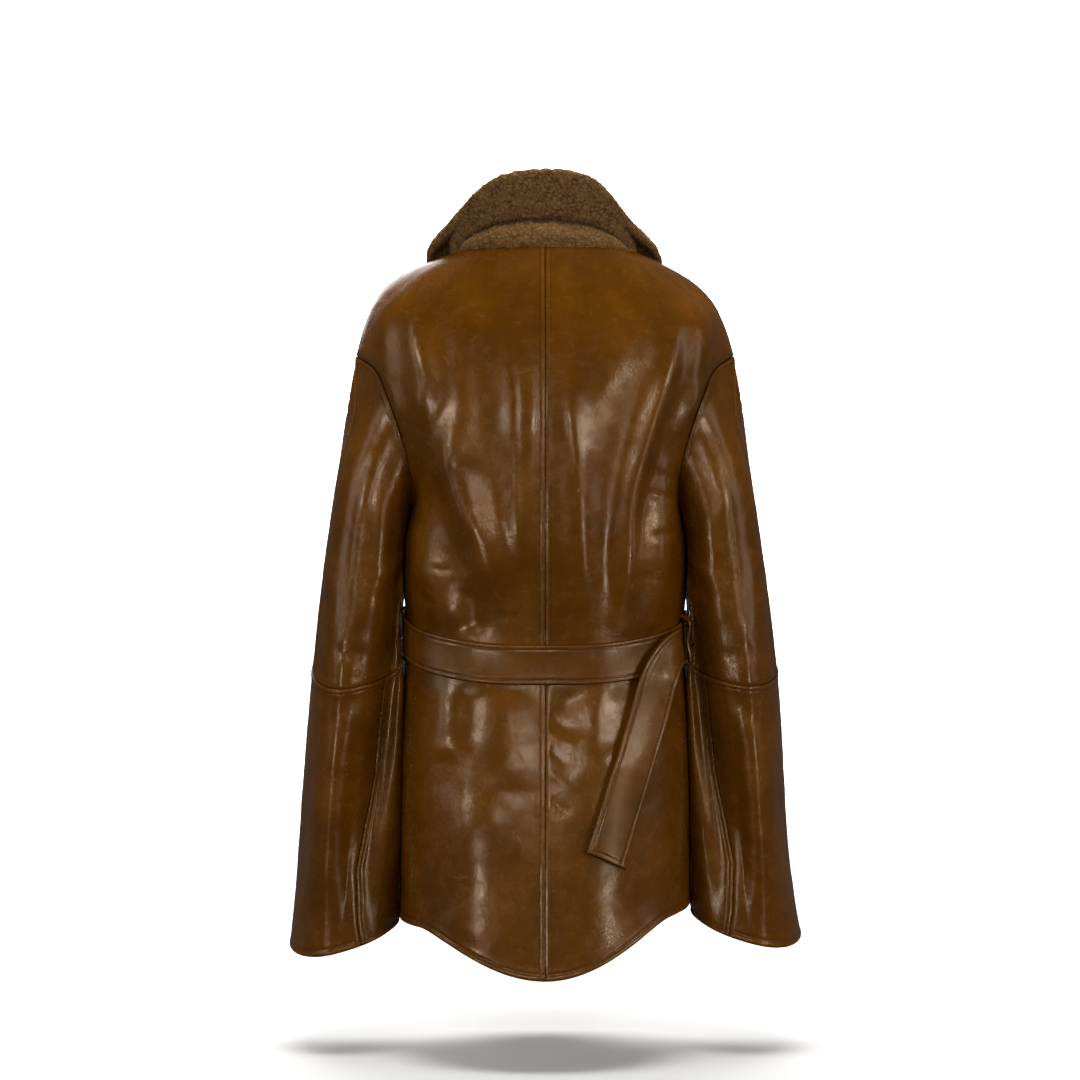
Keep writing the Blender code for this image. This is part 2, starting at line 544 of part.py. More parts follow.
def make_front(word, side, front, other, normals, leather):
    grid = front_with_lap(front, other)
    own = unit(grid_normals(grid) * side)
    own[:, LAP_COLUMNS + 2 :] = normals[:, 2:]
    if side < 0:
        grid = grid + own * over_lift(grid[..., 0])[..., None]
    outer, inner = grid.copy(), grid - own * HIDE
    seam(outer, inner, column=-1)
    wall_object(f"front_{word}", outer, inner, leather)


def make_sleeve(word, ring, normals, leather):
    """Two pieces above the elbow seam and two below it, each half a tube."""
    count = ring.shape[1]
    half, elbow = count // 2, ELBOW_ROWS
    turn = round(105 / 360 * count)
    inner_ring = ring - normals * HIDE
    for name, rows, start in (
        ("upper_back", slice(0, elbow + 1), 0),
        ("upper_front", slice(0, elbow + 1), half),
        ("lower_outer", slice(elbow, None), turn - half),
        ("lower_inner", slice(elbow, None), turn),
    ):
        columns = [k % count for k in range(start, start + half + 1)]
        outer, inner = ring[rows][:, columns].copy(), inner_ring[rows][:, columns].copy()
        seam(outer, inner, column=0)
        seam(outer, inner, column=-1)
        if name.startswith("upper"):
            seam(outer, inner, row=0, gap=ARMHOLE_GAP)
            seam(outer, inner, row=-1)
        else:
            seam(outer, inner, row=0)
        wall_object(f"sleeve_{name}_{word}", outer, inner, leather)


# --- The collar --------------------------------------------------------------------------------------
def neck_line(quarters):
    """Middle of the neck's rim over the +X half, from the centre back to the centre front, at the
    height that clears the rim's outer and inner edge and the over front's edge."""
    (back, back_normals), (front, front_normals) = quarters[1, "back"], quarters[1, "front"]
    rim = np.concatenate([back[-1], front[-1, -2::-1]])
    normals = np.concatenate([back_normals[-1], front_normals[-1, -2::-1]])
    line = rim - normals * HIDE / 2
    run = np.concatenate([[0.0], np.cumsum(np.linalg.norm(np.diff(line, axis=0), axis=1))])
    over = RIM_ALLOWANCE * over_lift(-rim[:, 0]) * (np.arange(len(rim)) > BACK_COLUMNS)
    line[:, 2] = rim[:, 2] + np.maximum(over, -normals[:, 2] * HIDE) + FOOT_CLEAR
    return run / run[-1], line


def collar_frames(quarters, shares):
    """Points of the neck's rim at these shares, and the level way outward from each."""
    knots, line = neck_line(quarters)
    ahead, behind = np.minimum(shares + 0.03, 1.0), np.maximum(shares - 0.03, 0.0)
    run = curve(knots, line, ahead) - curve(knots, line, behind)
    out = unit(np.column_stack([-run[:, 1], run[:, 0], np.zeros(len(shares))]))
    out[shares < 1e-6] = (0.0, 1.0, 0.0)
    out[:, 0] += POINT_SPREAD * ease((shares - 0.72) / 0.28)
    return curve(knots, line, shares), unit(out)


def leaf_middle(quarters, shares):
    """Middle surface of the leaf's +X half, rows from the neck seam to the free edge."""
    points, out = collar_frames(quarters, shares)
    read = curve([s.share for s in SECTIONS], [s[1:] for s in SECTIONS], shares)
    t = np.linspace(0.0, 1.0, LEAF_ROWS + 1)[:, None, None]
    parts = ((1 - t) ** 3, 3 * t * (1 - t) ** 2, 3 * t**2 * (1 - t), t**3)
    outward = sum(b * read[None, :, 2 * k : 2 * k + 1] for k, b in enumerate(parts))
    upward = sum(b * read[None, :, 2 * k + 1 : 2 * k + 2] for k, b in enumerate(parts))
    return points[None] + out[None] * outward + np.array([0.0, 0.0, 1.0]) * upward


def whole(half):
    """The +X half of a grid together with its mirror image, from -X to +X, leaning to the left."""
    both = np.concatenate([mirrored(half)[:, :0:-1], half], axis=1)
    both[..., 0] += COLLAR_SWAY * np.sin(np.pi * np.clip(both[..., 2] / COLLAR_TOP, 0.0, 1.0))
    return both


def leaf_walls(quarters, shares):
    """Outer and inner face of the leaf's +X half: curly pile on both, thinner at its free edge."""
    middle = leaf_middle(quarters, shares)
    cloud, normals = body_cloud(quarters, 1)
    across = np.linspace(0.0, 1.0, LEAF_ROWS + 1)[:, None]
    held_off = ease((across - 0.3) / 0.3) * ease((shares[None] - 0.25) / 0.12)
    clear = np.where(held_off > 0, (PILE_COLLAR / 2 + LAP_STEP + 0.0015) * held_off, -1.0)
    middle = lift_clear(middle, cloud, normals, clear)
    ways = unit(np.cross(np.gradient(middle, axis=0), np.gradient(middle, axis=1)))
    ways[:, 0, 0] = 0.0
    ways[0, :, 2] = 0.0
    half = PILE_COLLAR / 2 * (1 - (1 - LEAF_EDGE) * ease(across * 4 - 3))[..., None]
    return middle + unit(ways) * half, middle - unit(ways) * half


def make_stand(outer, shares, fleece):
    """The crescent of fleece that shows below the leaf at the back of the neck."""
    reach = np.linspace(0.0, STAND_REACH, COLLAR_COLUMNS - 6)
    part = 1 - (reach / (STAND_REACH + 0.02)) ** 2.4
    leaf = np.stack([curve(shares, row, reach) for row in outer])
    rows = []
    for k in range(STAND_ROWS + 1):
        height = leaf[0, :, 2] + STAND_RISE * part * k / STAND_ROWS
        rows.append([[np.interp(h, leaf[:, i, 2], leaf[:, i, axis]) for axis in range(3)] for i, h in enumerate(height)])
    inner = np.array(rows)
    ways = unit(np.cross(np.gradient(inner, axis=0), np.gradient(inner, axis=1)))
    ways[:, 0, 0] = 0.0
    ways = unit(ways)
    inner = inner + ways * 0.0007
    round_over = np.sin(np.pi * np.linspace(0.16, 0.90, STAND_ROWS + 1))[:, None]
    outer = inner + ways * (STAND_WALL * round_over * part)[..., None]
    wall_object("collar_stand", whole(outer), whole(inner), fleece)


def make_collar(quarters, fleece):
    shares = np.linspace(0.0, COLLAR_END, COLLAR_COLUMNS)
    outer, inner = leaf_walls(quarters, shares)
    wall_object("collar_leaf", whole(outer), whole(inner), fleece)
    make_stand(outer, shares, fleece)


# --- The belt ----------------------------------------------------------------------------------------
def belt_place(angles, drop, off):
    """Points round the body's plain form at these angles, this far below the belt's middle and off it."""
    angles, drop, off = np.broadcast_arrays(*(np.asarray(a, float) for a in (angles, drop, off)))
    stations = row_stations()
    stations = stations[(stations > station_of("skirt_top") - 0.03) & (stations < station_of("ribs"))]
    parts = []
    for which, side in (("front", 1), ("back", 1), ("back", -1), ("front", -1)):
        grid = quarter_surface(which, BACK_COLUMNS if which == "back" else FRONT_COLUMNS, stations)
        grid = grid if side > 0 else mirrored(grid)
        forward = (which == "front") == (side > 0)
        parts.append(grid[:, :-1] if forward else grid[:, :0:-1])
    rings = np.concatenate(parts, axis=1)
    rings = np.concatenate([rings, rings[:, :1]], axis=1)
    turn = np.unwrap(np.arctan2(rings[..., 1] - BELT_AXIS[1], rings[..., 0] - BELT_AXIS[0]), axis=1)
    points = np.empty(angles.shape + (3,))
    for place in np.ndindex(angles.shape):
        want = np.radians(angles[place])
        at = np.array([[np.interp((want - row[0]) % (2 * np.pi) + row[0], row, ring[:, k]) for k in range(3)]
                       for row, ring in zip(turn, rings)])
        middle = belt_height(at[:, 0], at[:, 1]) - drop[place]
        share = np.interp(0.0, at[:, 2] - middle, np.arange(len(at)))
        points[place] = [np.interp(share, np.arange(len(at)), at[:, k]) for k in range(3)]
        away = np.array([points[place][0] * 0.62, points[place][1], 0.0])
        points[place] += unit(away) * off[place]
    return points


def make_belt(leather):
    angles = np.linspace(BELT_START, BELT_STOP, BELT_COLUMNS)
    over = BELT_THICK + BELT_CLEAR
    turns = (BELT_START - angles) / 360.0
    layer = over * ease((turns - 0.86) / 0.12)
    first = belt_place(angles, 0.0, 0.0)
    on_front = ease(-first[:, 1] / 0.03)
    lap = LAP_STEP * on_front * ease((first[:, 0] + 0.116) / 0.045) * ease((0.100 - first[:, 0]) / 0.036)
    off = BELT_CLEAR + layer + lap
    drops = np.array([-0.5, 0.0, 0.5]) * BELT_WIDTH
    inner = belt_place(angles[None], drops[:, None], off[None])
    outer = belt_place(angles[None], drops[:, None], off[None] + BELT_THICK)
    wall_object("belt", outer, inner, leather)
    for word, angle, layers in (("left", LOOP_LEFT, 1), ("right", LOOP_RIGHT, 2)):
        make_belt_loop(word, angle, layers * over + 2 * BELT_CLEAR, leather)


def make_belt_loop(word, angle, stand_off, leather):
    """A narrow strip from the body above the belt, over it, and back to the body below it."""
    half = BELT_WIDTH / 2
    route = np.array([
        (-half - 0.0065, 0.0005), (-half - 0.0045, stand_off * 0.6), (-half - 0.0020, stand_off),
        (0.0, stand_off), (half + 0.0020, stand_off), (half + 0.0045, stand_off * 0.6), (half + 0.0065, 0.0005),
    ])
    run = np.gradient(route, axis=0)
    away = unit(np.column_stack([-run[:, 1], run[:, 0]]))
    spread = np.degrees(LOOP_WIDTH / 2 / 0.155) * np.array([-1.0, 0.0, 1.0])
    far = route + away * LOOP_THICK
    inner = belt_place(angle + spread[None], route[:, :1], route[:, 1:])
    outer = belt_place(angle + spread[None], far[:, :1], far[:, 1:])
    wall_object(f"belt_loop_{word}", outer, inner, leather)


def make_belt_end(quarters, leather):
    """The end of the belt that hangs down the right of the back."""
    cloud, normals = body_cloud(quarters, -1)
    steps = np.linspace(0, len(BELT_END) - 1, 2 * len(BELT_END) - 1)
    read = curve(np.arange(len(BELT_END)), BELT_END, steps)
    x, z, lean, half, off = (read[:, k : k + 1] for k in range(5))
    share = np.array([[-1.0, 0.0, 1.0]])
    across = np.radians(lean)
    grid = np.stack([x + share * half * np.cos(across), np.full((len(x), 3), 0.10),
                     z - share * half * np.sin(across)], axis=2)
    grid[-1, :, 0] -= END_SLANT * np.sin(across[-1]) * share[0]
    grid[-1, :, 2] += END_SLANT * np.cos(across[-1]) * share[0]
    for _ in range(6):
        away = grid[:, :, None] - cloud
        weight = np.exp(-(away[..., [0, 2]] ** 2).sum(axis=3) / 0.013**2)
        behind = weight * (normals[:, 1] > 0.1)
        way = unit((behind[..., None] * normals).sum(axis=2))
        height = (behind * (away * normals).sum(axis=3)).sum(axis=2) / behind.sum(axis=2)
        grid[..., 1] += (off - height) / np.maximum(way[..., 1], 0.3)
    ways = unit(np.cross(np.gradient(grid, axis=0), np.gradient(grid, axis=1)))
    ways = ways * np.sign(ways[..., 1:2])
    wall_object("belt_end", grid + ways * BELT_THICK, grid, leather)


def main():
    for thing in list(bpy.data.objects):
        bpy.data.objects.remove(thing)
    leather, fleece = make_material(LEATHER), make_material(FLEECE)
    quarters = make_body_and_sleeves(leather)
    make_collar(quarters, fleece)
    make_belt(leather)
    make_belt_end(quarters, leather)


main()
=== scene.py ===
"""Belted shearling coat: waxed leather panels, curly fleece collar and tie belt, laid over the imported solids.

Every cloth piece is a thin wall on the form of its solid, finer and with its creases, seams and stitches.
Metres, +Z up, the wearer faces -Y, and the photograph looks at the back of the coat.
"""

from collections import namedtuple
import math

import bpy
from bpy.props import FloatProperty, FloatVectorProperty, PointerProperty
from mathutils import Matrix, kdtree
import numpy as np


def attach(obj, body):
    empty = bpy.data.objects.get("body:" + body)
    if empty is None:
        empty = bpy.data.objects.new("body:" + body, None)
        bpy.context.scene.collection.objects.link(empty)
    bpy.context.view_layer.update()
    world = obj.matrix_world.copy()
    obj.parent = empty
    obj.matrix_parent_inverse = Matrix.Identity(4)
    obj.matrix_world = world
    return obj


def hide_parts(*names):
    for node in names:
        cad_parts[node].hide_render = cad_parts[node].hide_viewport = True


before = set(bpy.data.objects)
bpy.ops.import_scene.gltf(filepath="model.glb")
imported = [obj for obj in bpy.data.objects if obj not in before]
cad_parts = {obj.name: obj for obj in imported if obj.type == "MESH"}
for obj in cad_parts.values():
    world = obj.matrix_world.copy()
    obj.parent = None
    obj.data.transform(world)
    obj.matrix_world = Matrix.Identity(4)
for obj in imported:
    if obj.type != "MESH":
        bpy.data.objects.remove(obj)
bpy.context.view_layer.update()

bl_info = {
    "name": "Belted Shearling Coat",
    "version": (1, 0, 0),
    "blender": (4, 5, 0),
    "location": "3D View > Sidebar > Coat",
    "description": "Builds a hip-length leather coat with a fleece collar and a tie belt",
    "category": "Add Mesh",
}

MM = 0.001

# --- The coat's form: the same sizes as its solids ---------------------------------------------
HIDE = 0.0040   # a panel's leather with its pile
FRONT_LAP = 0.055   # each front past the centre line
LAP_STEP = HIDE + 0.0010
LAP_RAMP = 0.050
LAP_SPACING = 0.0045
HEM_LIFT_RIGHT = 0.016
SHOULDER_DROP_RIGHT = 0.006
FOLD_MARGIN = 0.014   # creases fade out this near a panel's outer edge
SOFT_MARGIN = 0.045   # and the evening out of its form this near
FOOT_CLEAR = 0.0004
FOOT_DROP = 0.0035   # the fleece over the neck seam
RIM_ALLOWANCE = 1.2
PILE_COLLAR = 0.0130
LEAF_EDGE = 0.60   # thickness of the leaf's edge, as a share of the leaf's
STAND_REACH = 0.32   # share of the neck that the stand goes round to
STAND_RISE = 0.029
STAND_WALL = 0.0105
BELT_WIDTH = 0.0420
BELT_THICK = 0.0034
BELT_CLEAR = 0.0012
LOOP_WIDTH = 0.0090
LOOP_THICK = 0.0022
SLEEVE_CLEAR = 0.0022
BELT_ROOM = 0.0105   # between sleeve and body beside the belt
PRESSED_BARE = 0.70   # a wall thinner than this share has no pile
SLEEVE_RADIUS, SLEEVE_LENGTH = 0.080, 0.640   # of a sleeve laid flat for its creases
FOLD_DEGREES, PRESSED_DEGREES = 26.0, 45.0   # of the sleeve's arm side: its fold, and its thinned wall
PRESSED_SHARE = 0.8   # how much thinner the wall is there
PRESSED_FROM, PRESSED_FADE = 0.56, 0.10   # station from which the wall gets thicker, and over how much
ELBOW_SAG = {1: 0.024, -1: 0.017}   # of the elbow seam at the back, left and right
UPPER_SIZE, LOWER_SIZE = (0.335, 0.205), (0.315, 0.25)   # length and width of a piece
TOP_SEAM = 19.0   # degrees behind the sleeve's outer edge
LOWER_SEAM = ((0.52, 0.68, 0.78, 0.85, 0.95, 1.0), (112, 106, 98, 94, 97, 101))   # stations, degrees
SLEEVE_COLUMNS = 24
ROUGH_COLUMNS, ROUGH_ROWS, GIRTH_ROW = 121, 161, 48
BELOW_BELT, ABOVE_BELT = 0.388, 0.453   # stations
LEAF_LONG, LEAF_DEEP = 335.0, 118.0   # length and depth of the leaf's half, in mm
LEAF_COLUMNS, LEAF_ROWS = 14, 7
FLEECE_STEP = 1.5   # mm between the points of the fleece
STAND_COLUMNS, STAND_ROWS = 78, 26
STAND_GAP = 0.0007   # between the leaf and the stand
BELT_COLUMNS, BELT_SPACING = 460, 3.0 * MM
BELT_FACE = BELT_THICK - 0.8 * MM   # the belt's face at its edges, before they are bound
BELT_OUT = np.array([0.62, 1.0, 0.0])   # how the belt stands off the body
BELT_RINGS = (0.29, 0.58, 40)   # first and last station, and how many rings
SECOND_LAYER, LAYER_RAMP = 0.86, 0.12   # turns after which the belt lies over its own start
BODY_RADIUS = 0.155   # beside the belt loops
END_ROWS, END_COLUMNS = 17, 5
UNDERARM, TIP = 0.64, 0.83   # stations where the armhole begins and ends
FULL_TURN = 2 * np.pi

# Levels of the body. cb, cf: its centre back and front. e: the outer edge of its quarter. level_by: share of
# the way to that edge on which the height changes. full_back, full_front: how square the quarter is.
Level = namedtuple("Level", "name station cb_y cb_z cf_y cf_z ex ey ez level_by full_back full_front")
LEVELS = (
    Level("hem",        0.00, 0.158, -0.761, -0.150, -0.732, 0.1575, 0.002, -0.713, 0.64, 0.63, 0.62),
    Level("low_skirt",  0.10, 0.153, -0.688, -0.147, -0.664, 0.1575, 0.002, -0.650, 0.68, 0.63, 0.62),
    Level("hip",        0.20, 0.147, -0.605, -0.142, -0.586, 0.1565, 0.002, -0.573, 0.74, 0.63, 0.60),
    Level("skirt_top",  0.32, 0.131, -0.510, -0.133, -0.490, 0.1540, 0.002, -0.482, 0.85, 0.62, 0.60),
    Level("belt",       0.42, 0.117, -0.434, -0.122, -0.405, 0.1500, 0.002, -0.400, 1.00, 0.62, 0.60),
    Level("waist",      0.50, 0.126, -0.374, -0.130, -0.350, 0.1540, 0.003, -0.345, 1.00, 0.62, 0.60),
    Level("ribs",       0.58, 0.138, -0.306, -0.138, -0.296, 0.1545, 0.006, -0.302, 1.00, 0.62, 0.60),
    Level("underarm",   0.64, 0.142, -0.258, -0.142, -0.258, 0.1460, 0.010, -0.275, 1.00, 0.62, 0.60),
    Level("blade",      0.74, 0.142, -0.180, -0.138, -0.190, 0.1460, 0.010, -0.190, 1.00, 0.62, 0.60),
    Level("tip",        0.83, 0.135, -0.112, -0.130, -0.140, 0.2040, 0.020, -0.104, 1.00, 0.62, 0.60),
    Level("yoke",       0.90, 0.124, -0.064, -0.125, -0.118, 0.1810, 0.011, -0.034, 1.00, 0.60, 0.58),
    Level("collarbone", 0.95, 0.110, -0.030, -0.121, -0.103, 0.1460, 0.006, -0.006, 1.00, 0.58, 0.56),
    Level("neck",       1.00, 0.089, 0.010, -0.116, -0.088, 0.0960, 0.004, 0.010, 1.00, 0.56, 0.55),
)
BELT_LEVEL = LEVELS[4]
# Places of the +X armhole and shoulder seam. out, fall: the way that a panel arrives there.
Edge = namedtuple("Edge", "share x y z out fall")
ARMHOLE_BACK = (
    Edge(0.00, 0.1460, 0.010, -0.275, 0.05, 0.00),
    Edge(0.17, 0.1430, 0.042, -0.257, 0.25, 0.00),
    Edge(0.35, 0.1460, 0.067, -0.226, 0.60, 0.10),
    Edge(0.53, 0.1545, 0.077, -0.190, 0.85, 0.20),
    Edge(0.71, 0.1680, 0.073, -0.152, 0.80, 0.30),
    Edge(0.86, 0.1820, 0.054, -0.121, 0.50, 0.30),
    Edge(1.00, 0.2040, 0.020, -0.104, 0.20, 0.20),
)
ARMHOLE_FRONT = (
    Edge(0.00, 0.1460, 0.010, -0.275, 0.05, 0.00),
    Edge(0.17, 0.1410, -0.024, -0.262, 0.25, 0.00),
    Edge(0.35, 0.1420, -0.052, -0.236, 0.55, 0.10),
    Edge(0.53, 0.1500, -0.065, -0.202, 0.80, 0.20),
    Edge(0.71, 0.1650, -0.060, -0.164, 0.75, 0.30),
    Edge(0.86, 0.1820, -0.034, -0.129, 0.45, 0.25),
    Edge(1.00, 0.2040, 0.020, -0.104, 0.20, 0.20),
)
SHOULDER = (
    Edge(0.00, 0.2040, 0.020, -0.104, 0.20, 0.20),
    Edge(0.22, 0.1947, 0.016, -0.0705, 0.08, 0.05),
    Edge(0.42, 0.1815, 0.011, -0.0395, 0.00, 0.00),
    Edge(0.60, 0.1620, 0.007, -0.0190, 0.00, 0.00),
    Edge(0.80, 0.1300, 0.005, -0.0030, 0.00, 0.00),
    Edge(1.00, 0.0960, 0.004, 0.010, 0.00, 0.00),
)
# Sections of the +X sleeve. o: its outer edge. i: its arm side. back, front: its half depths. dip: its back
# hangs lower. inner: its arm side is flatter. notch: depth of the trough down its back, at notch_at degrees.
Ring = namedtuple("Ring", "station ox oy oz ix iy iz back front dip inner notch notch_at")
RINGS = (
    Ring(0.00, 0.2040, 0.020, -0.104, 0.146, 0.010, -0.275, 0.070, 0.068, -0.010, 0.00, 0.000, 130),
    Ring(0.07, 0.2130, 0.012, -0.148, 0.148, 0.007, -0.287, 0.074, 0.072, -0.004, 0.02, 0.001, 130),
    Ring(0.17, 0.2235, 0.006, -0.215, 0.148, 0.006, -0.307, 0.077, 0.075, 0.006, 0.06, 0.006, 130),
    Ring(0.30, 0.2365, 0.004, -0.300, 0.146, 0.006, -0.346, 0.076, 0.074, 0.012, 0.14, 0.014, 130),
    Ring(0.52, 0.2530, 0.002, -0.440, 0.146, 0.003, -0.418, 0.077, 0.078, 0.016, 0.24, 0.022, 120),
    Ring(0.68, 0.2630, -0.010, -0.545, 0.149, -0.006, -0.520, 0.081, 0.080, 0.018, 0.26, 0.024, 110),
    Ring(0.85, 0.2720, -0.024, -0.655, 0.152, -0.018, -0.622, 0.086, 0.084, 0.018, 0.20, 0.014, 102),
    Ring(1.00, 0.2800, -0.036, -0.745, 0.154, -0.030, -0.709, 0.091, 0.088, 0.018, 0.10, 0.003, 108),
)
NOTCH_WIDTH = 19.0
INNER_SQUARE = 0.70
ELBOW = 0.52
LOOP_FADE = 0.20
# How the right sleeve differs from the left one's mirror image.
Sway = namedtuple("Sway", "station dx dz")
RIGHT_SWAY = (
    Sway(0.00, 0.0020, 0.004),
    Sway(0.16, -0.0020, 0.002),
    Sway(0.30, -0.0020, 0.000),
    Sway(0.52, -0.0003, -0.001),
    Sway(0.85, -0.0035, 0.006),
    Sway(1.00, 0.0010, 0.010),
)
# The leaf's middle at shares of the neck: how far out and up its foot, its two handles and its edge are.
Section = namedtuple("Section", "share base base_up lean rise over up edge level")
SECTIONS = (
    Section(0.00, -0.0090, 0.0, -0.0110, 0.034, 0.004, 0.056, 0.022, 0.0768),
    Section(0.12, -0.0090, 0.0, -0.0105, 0.032, 0.003, 0.052, 0.020, 0.0710),
    Section(0.22, -0.0080, 0.0, -0.0090, 0.027, 0.000, 0.043, 0.013, 0.0500),
    Section(0.32, -0.0045, 0.0, -0.0060, 0.022, 0.000, 0.032, 0.010, 0.0235),
    Section(0.42, -0.0010, 0.0, -0.0030, 0.018, 0.008, 0.024, 0.023, 0.0050),
    Section(0.52, 0.0000, 0.0, 0.0000, 0.016, 0.021, 0.020, 0.039, -0.0020),
    Section(0.65, 0.0000, 0.0, 0.0020, 0.016, 0.026, 0.022, 0.046, -0.030),
    Section(0.80, 0.0000, 0.0, 0.0040, 0.015, 0.030, 0.016, 0.050, -0.062),
    Section(1.00, 0.0000, 0.0, 0.0040, 0.013, 0.026, 0.010, 0.062, -0.086),
)
COLLAR_END = 0.965
POINT_SPREAD = 1.1
COLLAR_SWAY = 0.0045
COLLAR_TOP = 0.090
BELT_START = -62.0
LOOP_LEFT = 7.0
LOOP_RIGHT = 163.0
BELT_STOP = LOOP_RIGHT - 720.0
BELT_AXIS = (0.0, -0.002)
# The belt's hanging end: its middle, how its width leans in degrees, half of it, and how far off the coat.
Hang = namedtuple("Hang", "x z lean half off")
BELT_END = (
    Hang(-0.1440, -0.4160, -84.0, 0.0195, 0.0062),
    Hang(-0.1345, -0.4240, -66.0, 0.0195, 0.0085),
    Hang(-0.1265, -0.4360, -46.0, 0.0200, 0.0105),
    Hang(-0.1190, -0.4520, -29.0, 0.0205, 0.0110),
    Hang(-0.1110, -0.4800, -19.0, 0.0207, 0.0085),
    Hang(-0.0985, -0.5200, -17.6, 0.0207, 0.0060),
    Hang(-0.0828, -0.5700, -17.4, 0.0207, 0.0050),
    Hang(-0.0658, -0.6240, -17.2, 0.0207, 0.0048),
    Hang(-0.0618, -0.6365, -17.2, 0.0207, 0.0048),
)
END_SLANT = 0.0045

